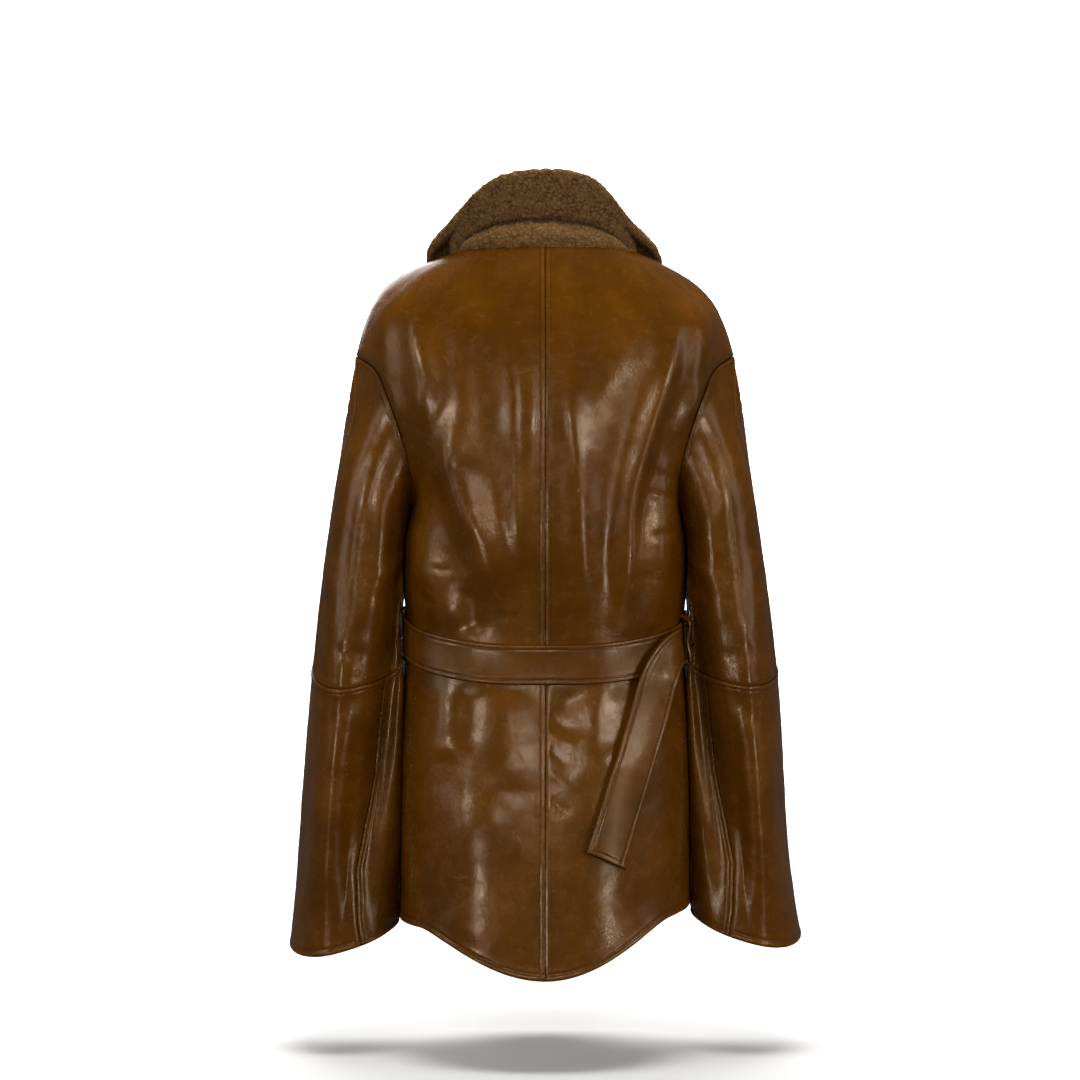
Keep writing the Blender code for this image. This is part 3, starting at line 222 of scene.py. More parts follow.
# --- Creases of the body ------------------------------------------------------------------------
# Each runs through points (x, z) on its side of the coat. wide0, wide1: half widths at its first and
# last point. high: ridge over 0, trough under 0. All in millimetres but the points. crisp: 2 is a
# soft swell, and lower is a sharper crest.
Crease = namedtuple("Crease", "wide0 wide1 high points crisp", defaults=(2,))
CREASES = {"back": (
    Crease(16, 14, 5, ((0.1412, -0.052), (0.1234, -0.1346), (0.1318, -0.188))),
    Crease(20, 20, -3.5, ((0.1129, -0.0709), (0.1098, -0.188))),
    Crease(14, 14, 4, ((0.1725, -0.0416), (0.1736, -0.0991), (0.1704, -0.1514))),
    Crease(17, 20, 8, ((0.0962, -0.1775), (0.1004, -0.2298), (0.0847, -0.2664), (0.0659, -0.3051),
                       (0.0471, -0.3699))),
    Crease(21, 20, -4, ((0.1265, -0.2089), (0.1119, -0.2821), (0.0889, -0.349))),
    Crease(13, 13, 4.5, ((0.0345, -0.0729), (0.0293, -0.1566), (0.0314, -0.2403), (0.022, -0.3553))),
    Crease(20, 21, -3.5, ((0.0763, -0.0834), (0.0617, -0.188), (0.0408, -0.2821))),
    Crease(16, 18, 5, ((0.1328, -0.3155), (0.114, -0.3553), (0.0973, -0.3992))),
    Crease(12, 12, -3.5, ((0.0784, -0.3511), (0.0742, -0.4034))),
    Crease(10, 15, 7.5, ((-0.1401, -0.0709), (-0.1318, -0.1169), (-0.1213, -0.1556), (-0.1108, -0.1922),
                         (-0.0993, -0.2308), (-0.091, -0.2769), (-0.0868, -0.3218), (-0.0784, -0.4034)),
           1.7),
    Crease(20, 22, -5.5, ((-0.0952, -0.1148), (-0.0868, -0.188), (-0.0742, -0.2403), (-0.0638, -0.3239),
                          (-0.0617, -0.3929))),
    Crease(12, 14, -5, ((-0.1433, -0.1357), (-0.1276, -0.1817), (-0.115, -0.2298), (-0.1025, -0.2664),
                        (-0.1004, -0.3239))),
    Crease(17, 19, 7, ((-0.0190, -0.1148), (-0.0300, -0.2089), (-0.0360, -0.2821), (-0.0420, -0.3448),
                       (-0.0480, -0.3971))),
    Crease(15, 18, 6.5, ((-0.1297, -0.2089), (-0.1255, -0.2612), (-0.1223, -0.3135), (-0.114, -0.3657),
                         (-0.1014, -0.4034))),
    Crease(16, 16, 5, ((-0.1673, -0.0478), (-0.1652, -0.1043), (-0.1537, -0.1942))),
    Crease(13, 18, -3, ((0.0784, -0.4578), (0.0857, -0.5263))),
    Crease(16, 22, 3, ((0.0991, -0.4599), (0.1053, -0.5384))),
    Crease(22, 34, 3.4, ((0.0387, -0.4599), (0.0324, -0.5656))),
    Crease(15, 22, -2.6, ((-0.0763, -0.4599), (-0.0712, -0.5293))),
    Crease(17, 26, 2.6, ((-0.0535, -0.4599), (-0.0597, -0.5584))),
    Crease(16, 20, -1.8, ((-0.0245, -0.4578), (-0.0278, -0.5131))),
    Crease(24, 36, -4, ((0.112, -0.520), (0.118, -0.720))),
    Crease(30, 42, 4, ((0.075, -0.560), (0.080, -0.740))),
    Crease(24, 36, -4, ((-0.105, -0.540), (-0.116, -0.720))),
    Crease(3.4, 4.6, -1.3, ((-0.1119, -0.234), (-0.1391, -0.2371))),
    Crease(3.6, 5.0, -1.5, ((-0.1058, -0.2539), (-0.133, -0.2578))),
    Crease(4.0, 5.6, -1.5, ((-0.1107, -0.2999), (-0.1379, -0.292))),
    Crease(3.6, 4.8, -1.2, ((-0.1016, -0.3386), (-0.1256, -0.3468))),
    Crease(2.6, 2.6, -1.1, ((-0.004, -0.488), (-0.026, -0.503)), 1.7),
    Crease(2.6, 2.6, 0.9, ((-0.004, -0.505), (-0.034, -0.521)), 1.7),
    Crease(2.6, 2.6, -1.1, ((-0.003, -0.520), (-0.024, -0.540)), 1.7),
    Crease(2.8, 2.8, 0.9, ((-0.004, -0.545), (-0.030, -0.566)), 1.7),
    Crease(2.8, 2.8, -0.9, ((-0.004, -0.572), (-0.026, -0.590)), 1.7),
    Crease(3, 3, -1, ((0.020, -0.386), (0.052, -0.381)), 1.7),
    Crease(3, 3, -0.9, ((0.100, -0.336), (0.128, -0.330)), 1.7),
    Crease(3.2, 3.2, -1.2, ((0.112, -0.372), (0.137, -0.360)), 1.7),
), "front": (
    Crease(22, 24, 6.5, ((0.122, -0.075), (0.112, -0.210))),
    Crease(22, 24, 6.5, ((-0.122, -0.075), (-0.110, -0.215))),
    Crease(21, 24, 6.5, ((0.094, -0.190), (0.070, -0.385))),
    Crease(21, 24, 7.5, ((-0.097, -0.180), (-0.072, -0.385))),
    Crease(15, 16, -4, ((0.112, -0.300), (0.100, -0.380))),
    Crease(15, 16, -4, ((-0.110, -0.290), (-0.100, -0.380))),
    Crease(16, 18, 3.5, ((0.040, -0.320), (0.034, -0.385))),
    Crease(20, 33, 5.5, ((0.075, -0.440), (0.085, -0.600))),
    Crease(20, 33, 5.5, ((-0.080, -0.440), (-0.090, -0.610))),
    Crease(20, 27, -5, ((0.112, -0.450), (0.120, -0.640))),
    Crease(20, 27, -5, ((-0.112, -0.450), (-0.118, -0.640))),
    Crease(10, 12, -3.5, ((0.052, -0.440), (0.050, -0.500))),
    Crease(10, 12, -3.5, ((-0.056, -0.440), (-0.058, -0.505))),
)}
# Creases of a sleeve, through points (degrees round, share of its length). left and right: height there.
SleeveCrease = namedtuple("SleeveCrease", "wide0 wide1 left right points")
SLEEVE_CREASES = (
    SleeveCrease(14, 18, 2.8, 1.4, ((104, 0.14), (100, 0.30), (90, 0.44))),
    SleeveCrease(14, 18, -2.1, -2.1, ((66, 0.10), (62, 0.30), (68, 0.46))),
    SleeveCrease(18, 24, 2.1, 2.8, ((34, 0.16), (30, 0.40))),
    SleeveCrease(8, 10, 1.3, 1.6, ((150, 0.20), (118, 0.27), (96, 0.30))),
    SleeveCrease(8, 10, -1.3, -1.3, ((150, 0.25), (120, 0.33), (92, 0.36))),
    SleeveCrease(8, 10, 1.2, 1.4, ((158, 0.38), (130, 0.42), (106, 0.41))),
    SleeveCrease(8, 10, -1.2, -0.9, ((60, 0.47), (96, 0.49))),
    SleeveCrease(10, 14, -1.3, -1.4, ((88, 0.56), (62, 0.60))),
    SleeveCrease(21, 30, 2.1, 2.1, ((64, 0.60), (56, 0.90))),
    SleeveCrease(18, 24, -2.1, -1.4, ((30, 0.62), (26, 0.92))),
    SleeveCrease(16, 21, 2.8, 2.1, ((160, 0.60), (150, 0.90))),
    SleeveCrease(15, 18, 2.8, 2.8, ((250, 0.15), (255, 0.45))),
    SleeveCrease(15, 18, -2.8, -2.1, ((290, 0.12), (288, 0.44))),
    SleeveCrease(21, 27, 2.8, 3.5, ((230, 0.58), (235, 0.92))),
    SleeveCrease(18, 27, -2.8, -2.8, ((310, 0.60), (305, 0.92))),
    SleeveCrease(10, 12, -2, -2, ((200, 0.44), (240, 0.50), (280, 0.47))),
)

# --- Seams: height of the leather over its panel at distances from the panel's edge, in mm --------
# over: the edge that laps over its neighbour and is stitched down. under: the edge beneath it.
# turned: an open edge, turned in and stitched. bound: a belt's edge.
SEAMS = {
    "over": ((0.0, 0.4, 0.9, 2.0, 4.0, 4.9, 5.6, 6.4, 8.0, 10.5, 14.0),
             (-0.3, 0.7, 1.1, 1.2, 1.0, 0.55, 0.25, 0.62, 0.55, 0.2, 0.0)),
    "under": ((0.0, 0.8, 2.0, 3.6, 6.0, 10.0), (-0.9, -0.75, -0.2, 0.1, 0.1, 0.0)),
    "turned": ((0.0, 0.4, 1.0, 2.2, 4.4, 6.0, 7.0, 8.0, 9.5, 12.0, 16.0),
               (-0.9, 0.2, 0.9, 1.3, 1.1, 0.5, -0.3, 0.3, 0.45, 0.2, 0.0)),
    "bound": ((0.0, 0.4, 1.0, 2.2, 3.8, 4.6, 5.2, 6.0, 7.5, 9.5),
              (-0.8, -0.1, 0.35, 0.55, 0.45, 0.05, -0.3, 0.1, 0.3, 0.2)),
}
STITCH_LINE = {"over": 5.6, "turned": 7.0, "bound": 5.2}
# Where one seam runs into another it sinks to this share of its height, and is whole this far on.
CROSSING_SHARE, CROSSING_REACH = 0.35, 9 * MM
SEAM_STEPS = np.array([0.0, 0.4, 0.9, 1.5, 2.2, 3.2, 4.2, 4.9, 5.6, 6.3, 7.0, 7.8, 9.2, 11.2]) * MM


# --- What a user would change ---------------------------------------------------------------------
def linear(code):
    """An sRGB hex colour as linear red, green, blue and alpha."""
    parts = [int(code[k : k + 2], 16) / 255 for k in (1, 3, 5)]
    return (*[c / 12.92 if c <= 0.04045 else ((c + 0.055) / 1.055) ** 2.4 for c in parts], 1.0)


def colour(name, words, code):
    return FloatVectorProperty(name=name, description=words, subtype="COLOR", size=4, min=0.0, max=1.0,
                               default=linear(code))


class CoatSizes(bpy.types.PropertyGroup):
    spacing: FloatProperty(name="Fineness", description="Distance between the points of a panel",
                           default=3.8 * MM, min=2 * MM, max=20 * MM, unit="LENGTH")
    crease_depth: FloatProperty(name="Crease depth", description="Share of the listed depth of the creases",
                                default=1.0, min=0.0, max=1.5, subtype="FACTOR")
    ripple: FloatProperty(name="Ripple", description="Height of the leather's small uneven swells",
                          default=0.12 * MM, min=0.0, max=2 * MM, unit="LENGTH")
    stitch_pitch: FloatProperty(name="Stitch spacing", description="Distance from stitch to stitch",
                                default=3.6 * MM, min=2 * MM, max=8 * MM, unit="LENGTH")
    stitch_length: FloatProperty(name="Stitch length", description="Length of the thread that shows",
                                 default=2.6 * MM, min=1 * MM, max=7 * MM, unit="LENGTH")
    thread: FloatProperty(name="Thread", description="Thickness of the sewing thread",
                          default=0.75 * MM, min=0.3 * MM, max=2 * MM, unit="LENGTH")
    curl: FloatProperty(name="Curl size", description="Distance between the curls of the fleece",
                        default=5.0 * MM, min=2 * MM, max=12 * MM, unit="LENGTH")
    curl_height: FloatProperty(name="Curl height", description="How far a curl stands out of the fleece",
                               default=2.0 * MM, min=0.0, max=5 * MM, unit="LENGTH")


class CoatColours(bpy.types.PropertyGroup):
    leather_dark: colour("Dark leather", "Leather in its worn-dark patches", "#4C2A00")
    leather: colour("Leather", "The leather's own colour", "#583100")
    leather_light: colour("Light leather", "Leather where it is rubbed light", "#653904")
    crack: colour("Crease lines", "Hairline creases where the finish has lightened", "#A07040")
    # Thread darker than the leather, also as painted shade in the stitch holes.
    thread: colour("Thread", "Sewing thread", "#45280C")
    # Painted shade in the gaps between the curls.
    fleece_gap_shade: colour("Fleece depths", "Fleece between its curls", "#36210F")
    fleece: colour("Fleece", "Curls of the fleece", "#71502E")
    # Painted light on the tops of the curls, also used as the sheen's tint.
    fleece_lit_tips: colour("Fleece tips", "Tips of the curls", "#80603A")
    floor: colour("Floor", "Studio floor", "#F2F1EF")


# --- Curves and surfaces --------------------------------------------------------------------------
def curve(knots, values, at):
    """Smooth curve through the values at the knots, read at the places given."""
    knots, values, at = (np.asarray(a, float) for a in (knots, values, at))
    span = np.diff(knots)[:, None]
    slopes = np.diff(values, axis=0) / span
    tangents = np.empty_like(values)
    tangents[0], tangents[-1] = slopes[0], slopes[-1]
    tangents[1:-1] = (slopes[:-1] * span[1:] + slopes[1:] * span[:-1]) / (span[1:] + span[:-1])
    index = np.clip(np.searchsorted(knots, at, side="right") - 1, 0, len(knots) - 2)
    width = span[index]
    t = ((at - knots[index]) / width[:, 0])[:, None]
    return (
        (2 * t**3 - 3 * t**2 + 1) * values[index]
        + (t**3 - 2 * t**2 + t) * width * tangents[index]
        + (3 * t**2 - 2 * t**3) * values[index + 1]
        + (t**3 - t**2) * width * tangents[index + 1]
    )


def unit(vectors):
    return vectors / np.maximum(np.linalg.norm(vectors, axis=-1, keepdims=True), 1e-12)


def ease(t):
    t = np.clip(t, 0.0, 1.0)
    return t * t * (3 - 2 * t)


def mirrored(points):
    return points * np.array([-1.0, 1.0, 1.0])


def sample(grid, row, column, wrap=False):
    """Smooth reading of a grid of points at fractional rows and columns."""
    def weights(place, count, around):
        low = np.floor(place).astype(int)
        if not around:
            low = np.clip(low, 0, count - 2)
        t = place - low
        parts = ((-t**3 + 2 * t**2 - t) / 2, (3 * t**3 - 5 * t**2 + 2) / 2,
                 (-3 * t**3 + 4 * t**2 + t) / 2, (t**3 - t**2) / 2)
        return low, parts

    rows, columns = grid.shape[:2]
    r0, row_parts = weights(row, rows, False)
    c0, column_parts = weights(column, columns, wrap)
    total = 0.0
    for i, a in enumerate(row_parts):
        # Past an end the grid runs straight on.
        r = r0 + i - 1
        r_in = np.clip(r, 0, rows - 1)
        for k, b in enumerate(column_parts):
            c = c0 + k - 1
            c_in = c % columns if wrap else np.clip(c, 0, columns - 1)
            value = grid[r_in, c_in]
            if not wrap:
                inward = np.clip(2 * c_in - c, 0, columns - 1)
                value = 2 * value - grid[r_in, inward] if np.any(c != c_in) else value
                value = np.where((c != c_in)[..., None], value, grid[r_in, c_in])
            r_inward = np.clip(2 * r_in - r, 0, rows - 1)
            value = np.where((r != r_in)[..., None], 2 * value - grid[r_inward, c_in], value)
            total = total + (a * b)[..., None] * value
    return total


def arcs(grid, axis):
    """Distance along the rows (axis 1) or columns (axis 0) of a grid, from its start."""
    step = np.linalg.norm(np.diff(grid, axis=axis), axis=2)
    start = np.zeros_like(np.take(grid[..., 0], [0], axis=axis))
    return np.concatenate([start, np.cumsum(step, axis=axis)], axis=axis)


def run_along(line):
    """Distance along a line of points, from its start."""
    return np.concatenate([[0.0], np.cumsum(np.linalg.norm(np.diff(line, axis=0), axis=1))])


def read_along(places, run, line):
    """Points of a line at these places, where run says where its own points are."""
    return np.stack([np.interp(places, run, line[:, k]) for k in range(3)], axis=-1)


def crowded(length, spacing, low=True, high=True):
    """Shares of a length, evenly spaced but for the crowd beside a stitched edge."""
    first = SEAM_STEPS if low else SEAM_STEPS[:1]
    last = length - (SEAM_STEPS if high else SEAM_STEPS[:1])[::-1]
    count = max(3, round((last[0] - first[-1]) / spacing) + 1)
    middle = np.linspace(first[-1], last[0], count)[1:-1]
    return np.concatenate([first, middle, last]) / length


def grid_normals(points):
    return unit(np.cross(np.gradient(points, axis=1), np.gradient(points, axis=0)))


def soften(grid, rounds):
    """Evens a grid out along its columns, all but its first and last rows and its outer column."""
    grid = grid.copy()
    for _ in range(rounds):
        middle = (grid[:-2, :-1] + grid[2:, :-1]) / 2
        grid[1:-1, :-1] += 0.5 * (middle - grid[1:-1, :-1])
    return grid


def ripples(points, seed, height, longest=0.060, shortest=0.014):
    """Small uneven swells: many faint waves that cross each other at seeded directions."""
    random = np.random.default_rng(seed)
    total = np.zeros(points.shape[:-1])
    for _ in range(26):
        length = shortest * (longest / shortest) ** random.random()
        way = unit(random.normal(size=3)) * 2 * np.pi / length
        total += (length / longest) ** 0.7 * np.cos(points @ way + random.random() * 2 * np.pi)
    return height * total / 2.2


# --- The body ---------------------------------------------------------------------------------------
def edge_rows(stations, armhole):
    """Outer edge for every row: side seam, then this edge of the armhole, then the shoulder seam."""
    below = [level for level in LEVELS if level.station <= UNDERARM]
    points, heading = np.empty((len(stations), 3)), np.zeros((len(stations), 2))
    side = stations < UNDERARM
    points[side] = curve([b.station for b in below], [(b.ex, b.ey, b.ez) for b in below], stations[side])
    for chosen, table, start, end in (
        ((stations >= UNDERARM) & (stations < TIP), armhole, UNDERARM, TIP),
        (stations >= TIP, SHOULDER, TIP, 1.0),
    ):
        share = (stations[chosen] - start) / (end - start)
        read = curve([e.share for e in table], [e[1:] for e in table], share)
        points[chosen], heading[chosen] = read[:, :3], read[:, 3:]
    return points, heading


def quarter_surface(which, shares, stations):
    """Rows by columns of points of a +X quarter, from the centre line to the outer edge."""
    if which == "back":
        centre = [(b.cb_y, b.cb_z, b.full_back, b.level_by) for b in LEVELS]
        armhole, forward = ARMHOLE_BACK, -1.0
    else:
        centre = [(b.cf_y, b.cf_z, b.full_front, b.level_by) for b in LEVELS]
        armhole, forward = ARMHOLE_FRONT, 1.0
    edge, heading = edge_rows(stations, armhole)
    y, z, full, level_by = (c[:, None] for c in curve([b.station for b in LEVELS], centre, stations).T)
    ex, ey, ez = (edge[:, k : k + 1] for k in range(3))
    out, fall = heading[:, :1], heading[:, 1:]
    way = unit(np.concatenate([out, np.full_like(out, forward), -fall], axis=1))
    pull = np.abs(y - ey) * full * (1 - 0.25 * out)
    t = np.asarray(shares)[None, :]
    b1, b2, b3 = 3 * t * (1 - t) ** 2, 3 * t**2 * (1 - t), t**3
    x = b1 * ex * full + b2 * (ex - pull * way[:, :1]) + b3 * ex
    depth = (1 - t) ** 3 * y + b1 * y + b2 * (ey - pull * way[:, 1:2]) + b3 * ey
    height = z + (ez - z) * ease(t / level_by) - b2 * pull * way[:, 2:]
    return np.stack([x, depth, height], axis=2)


def quarter_normals(points, which, side):
    normals = grid_normals(points) * (side if which == "front" else -side)
    normals[:, 0, 0] = 0.0
    return unit(normals)


def belt_height(y):
    """Height of the belt's middle at a place round the body."""
    belt = BELT_LEVEL
    back = y > belt.ey
    to_back, to_front = (y - belt.ey) / (belt.cb_y - belt.ey), (belt.ey - y) / (belt.ey - belt.cf_y)
    turn = np.clip(np.where(back, to_back, to_front), 0, 1)
    return belt.ez + (np.where(back, belt.cb_z, belt.cf_z) - belt.ez) * turn


def crease_height(a, b, points, wide0, wide1, high, crisp=2):
    """Height over places (a, b), in metres, of a crease through these points."""
    points = np.asarray(points, float)
    lengths = np.linalg.norm(np.diff(points, axis=0), axis=1)
    starts = np.concatenate([[0.0], np.cumsum(lengths)])
    nearest, along = np.full(a.shape, 9.0), np.zeros(a.shape)
    for k, (start, run) in enumerate(zip(points[:-1], np.diff(points, axis=0))):
        t = np.clip(((a - start[0]) * run[0] + (b - start[1]) * run[1]) / (run @ run), 0.0, 1.0)
        away = np.hypot(a - start[0] - t * run[0], b - start[1] - t * run[1])
        closer = away < nearest
        nearest = np.where(closer, away, nearest)
        along = np.where(closer, starts[k] + t * lengths[k], along)
    share = along / starts[-1]
    width = (wide0 + (wide1 - wide0) * share) * MM
    ends = ease(0.25 + 3 * share) * ease(0.25 + 3 * (1 - share))
    return high * MM * np.exp(-((nearest / width) ** crisp)) * ends


def body_creases(points, which, sizes):
    """Height of a quarter's creases and ripples, which lie flat under the belt."""
    x, y, z = (points[..., k] for k in range(3))
    total = sum(crease_height(x, z, c.points, c.wide0, c.wide1, c.high, c.crisp) for c in CREASES[which])
    total = total * sizes.crease_depth + ripples(points, 3 if which == "back" else 4, sizes.ripple)
    return total * ease((np.abs(z - belt_height(y)) - BELT_WIDTH / 2 + 0.001) / 0.013)


def body_quarter(which, side, shares, stations, sizes):
    """Outer points of one quarter of the body and the normals of its plain form."""
    plain = quarter_surface(which, shares, stations)
    inset = np.linalg.norm(plain - plain[:, -1:, :], axis=2)
    below = np.linalg.norm(plain - plain[-1:], axis=2)
    # The finer the grid, the more rounds it takes to even out the same length.
    moved = soften(plain, round(len(stations) ** 2 / 500)) - plain
    points = plain + moved * (ease(inset / SOFT_MARGIN) * ease(below / SOFT_MARGIN))[..., None]
    if side < 0:
        points = mirrored(points)
        low = 1 - ease(stations / BELT_LEVEL.station)
        points[..., 2] += HEM_LIFT_RIGHT * low[:, None] * ease(shares)
        along = (stations - TIP) / (1 - TIP)
        drop = SHOULDER_DROP_RIGHT * ease(2 * along) * ease(2 - 2 * along)
        points[..., 2] -= drop[:, None] * ease(shares)
    from_edge = np.linalg.norm(points - points[:, -1:, :], axis=2)
    height = body_creases(points, which, sizes) * ease(from_edge / FOLD_MARGIN)
    normals = quarter_normals(points, which, side)
    return points + normals * height[..., None], normals


def fine_places(which, sizes):
    """Shares and stations for a quarter's fine grid."""
    rough_shares, rough_stations = np.linspace(0, 1, ROUGH_COLUMNS), np.linspace(0, 1, ROUGH_ROWS)
    rough = quarter_surface(which, rough_shares, rough_stations)
    centre, middle = arcs(rough, 0)[:, 0], arcs(rough, 1)[GIRTH_ROW]
    rows = crowded(centre[-1], sizes.spacing, high=False) * centre[-1]
    columns = crowded(middle[-1], sizes.spacing) * middle[-1]
    return np.interp(columns, middle, rough_shares), np.interp(rows, centre, rough_stations)


COARSE_STATIONS = np.concatenate([
    np.linspace(0, BELOW_BELT, 14)[:-1], np.linspace(BELOW_BELT, ABOVE_BELT, 3)[:-1],
    np.linspace(ABOVE_BELT, UNDERARM, 7)[:-1], np.linspace(UNDERARM, TIP, 13)[:-1], np.linspace(TIP, 1.0, 7),
])


def coarse_quarters(sizes):
    """All four quarters on a coarse grid, for laying the sleeves, collar and belt against the body."""
    return {(side, which): body_quarter(which, side, np.linspace(0, 1, count), COARSE_STATIONS, sizes)
            for side in (1, -1) for which, count in (("back", 13), ("front", 10))}


def body_cloud(quarters, side):
    """Points of one side of the body and their normals."""
    pair = [quarters[side, w][0] for w in ("back", "front")]
    normals = [quarter_normals(grid, w, side) for grid, w in zip(pair, ("back", "front"))]
    return tuple(np.concatenate([grid.reshape(-1, 3) for grid in grids]) for grids in (pair, normals))


def lift_clear(points, cloud, normals, clear, reach=0.014):
    """Moves points that are nearer than clear to a surface out of it, along its smoothed normals."""
    shape = points.shape
    flat, clear = points.reshape(-1, 3).copy(), np.broadcast_to(clear, shape[:-1]).reshape(-1)
    for _ in range(3):
        away = flat[:, None] - cloud[None]
        weight = np.exp(-(away**2).sum(axis=2) / reach**2)
        total = weight.sum(axis=1)
        height = (weight * (away * normals[None]).sum(axis=2)).sum(axis=1) / np.maximum(total, 1e-30)
        way = unit((weight[..., None] * normals[None]).sum(axis=1))
        push = np.where(total > 1e-7, np.clip(clear - height, 0.0, 0.03), 0.0)
        flat += way * push[:, None]
    return flat.reshape(shape)


# --- Walls ------------------------------------------------------------------------------------------
def seam_relief(grid, seams):
    """Height of the seams over a panel, and distance to its nearest seam. seams: what its first and
    last column and its first and last row are."""
    across, along = arcs(grid, 1), arcs(grid, 0)
    height, nearest = np.zeros(grid.shape[:2]), np.full(grid.shape[:2], 0.05)
    for kind, distance in zip(seams, (across, across[:, -1:] - across, along, along[-1:] - along)):
        if kind:
            steps, heights = SEAMS[kind]
            here = np.interp(distance, np.array(steps) * MM, np.array(heights) * MM)
            height = height * np.minimum(1.0, CROSSING_SHARE + distance / CROSSING_REACH) + here
            nearest = np.minimum(nearest, distance)
    return height, nearest


def wall_mesh(name, outer, inner, materials, values=None, bare=None):
    """A closed wall between two grids of points of the same size, its far side in the second material
    but for the places marked bare."""
    rows, columns = outer.shape[:2]
    count = rows * columns
    index = np.arange(count).reshape(rows, columns)
    quads = np.stack([index[:-1, :-1], index[:-1, 1:], index[1:, 1:], index[1:, :-1]], axis=2).reshape(-1, 4)
    rim = np.concatenate([index[0], index[1:, -1], index[-1, -2::-1], index[-2:0:-1, 0]])
    following = np.roll(rim, -1)
    faces = np.concatenate([quads, quads[:, ::-1] + count,
                            np.column_stack([following, rim, rim + count, following + count])])
    points = np.concatenate([outer.reshape(-1, 3), inner.reshape(-1, 3)])
    corners = points[faces]
    volume = np.einsum("ij,ij->i", corners[:, 0], np.cross(corners[:, 1], corners[:, 2])).sum()
    volume += np.einsum("ij,ij->i", corners[:, 0], np.cross(corners[:, 2], corners[:, 3])).sum()
    if volume < 0:
        faces = faces[:, ::-1]
    slots = np.zeros(len(faces), int)
    slots[len(quads) : 2 * len(quads)] = len(materials) - 1
    if bare is not None:
        slots[len(quads) : 2 * len(quads)][bare[:-1, :-1].ravel()] = 0
    return new_piece(name, points, faces, materials, slots, values)


def new_piece(name, points, faces, materials, slots=None, values=None):
    mesh = bpy.data.meshes.new(name)
    points, faces = np.ascontiguousarray(points, np.float32), np.ascontiguousarray(faces, np.int32)
    sides = faces.shape[1]
    mesh.vertices.add(len(points))
    mesh.vertices.foreach_set("co", points.ravel())
    mesh.loops.add(faces.size)
    mesh.loops.foreach_set("vertex_index", faces.ravel())
    mesh.polygons.add(len(faces))
    mesh.polygons.foreach_set("loop_start", np.arange(0, faces.size, sides, dtype=np.int32))
    mesh.polygons.foreach_set("loop_total", np.full(len(faces), sides, np.int32))
    mesh.update(calc_edges=True)
    mesh.validate()
    for material in materials:
        mesh.materials.append(material)
    if slots is not None:
        mesh.polygons.foreach_set("material_index", np.ascontiguousarray(slots, np.int32))
    for word, numbers in (values or {}).items():
        numbers = np.concatenate([numbers.ravel(), numbers.ravel()])[: len(points)]
        mesh.attributes.new(word, "FLOAT", "POINT").data.foreach_set("value", numbers.astype(np.float32))
    mesh.shade_smooth()
    piece = bpy.data.objects.new(name, mesh)
    bpy.context.scene.collection.objects.link(piece)
    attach(piece, "root")
    return piece


def declare(nodes):
    """Hides the solids that a piece stands for."""
    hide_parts(*nodes)


class Sewing:
    """Collects the lines of stitches that the pieces leave, for one joined mesh of thread."""

    def __init__(self):
        self.lines = []

    def follow(self, outer, normals, seams):
        """A line at each stitched edge of a panel, on its finished surface."""
        across, along = arcs(outer, 1), arcs(outer, 0)
        for k, kind in enumerate(seams):
            if kind not in STITCH_LINE:
                continue
            want = STITCH_LINE[kind] * MM
            grid, way, distance = outer, normals, across
            if k >= 2:
                grid, way, distance = (np.swapaxes(a, 0, 1) for a in (outer, normals, along))
            if k % 2:
                grid, way, distance = grid[:, ::-1], way[:, ::-1], (distance[:, -1:] - distance)[:, ::-1]
            line = np.array([read_along(want, d, row) for d, row in zip(distance, grid)])
            up = np.array([read_along(want, d, row) for d, row in zip(distance, way)])
            self.lines.append((line, unit(up)))


SEWING = Sewing()


# --- Materials --------------------------------------------------------------------------------------
def node(tree, kind, settings=None, links=None):
    """Adds a node, sets its own settings and socket values, and links other nodes' sockets to it."""
    new = tree.nodes.new(kind)
    for word, value in (settings or {}).items():
        if isinstance(word, str) and hasattr(new, word):
            setattr(new, word, value)
        else:
            new.inputs[word].default_value = value
    for socket, source in (links or {}).items():
        tree.links.new(source, new.inputs[socket])
    return new


def ramp(tree, source, stops):
    """A colour ramp over a number, with stops of place and colour."""
    new = node(tree, "ShaderNodeValToRGB", links={0: source})
    new.color_ramp.elements[0].position, new.color_ramp.elements[0].color = stops[0]
    new.color_ramp.elements[1].position, new.color_ramp.elements[1].color = stops[-1]
    for place, shade in stops[1:-1]:
        new.color_ramp.elements.new(place).color = shade
    return new.outputs["Color"]


def grey(value):
    return (value, value, value, 1.0)


def noise(tree, place, scale, detail, roughness=0.5, output="Fac"):
    """A noise over these places."""
    settings = {"Scale": scale, "Detail": detail, "Roughness": roughness}
    return node(tree, "ShaderNodeTexNoise", settings, {"Vector": place}).outputs[output]


def cells(tree, place, scale):
    """Distance to the nearest edge of a net of uneven cells."""
    settings = {"feature": "DISTANCE_TO_EDGE", "Scale": scale}
    return node(tree, "ShaderNodeTexVoronoi", settings, {"Vector": place}).outputs["Distance"]


def attribute(tree, word):
    """A number that the mesh carries."""
    return node(tree, "ShaderNodeAttribute", {"attribute_name": word}).outputs["Fac"]


def pulled(tree, place, scale, reach):
    """Places pulled out of shape by a noise, by up to this reach."""
    warp = noise(tree, place, scale, 1.0, output="Color")
    bent = node(tree, "ShaderNodeVectorMath", {"operation": "MULTIPLY_ADD"}, {0: warp, 2: place})
    bent.inputs[1].default_value = (reach, reach, reach)
    return bent.outputs[0]


def times(tree, a, b):
    """The product of an output and a number or another output."""
    product = node(tree, "ShaderNodeMath", {"operation": "MULTIPLY"}, {0: a})
    if isinstance(b, float):
        product.inputs[1].default_value = b
    else:
        tree.links.new(b, product.inputs[1])
    return product.outputs[0]


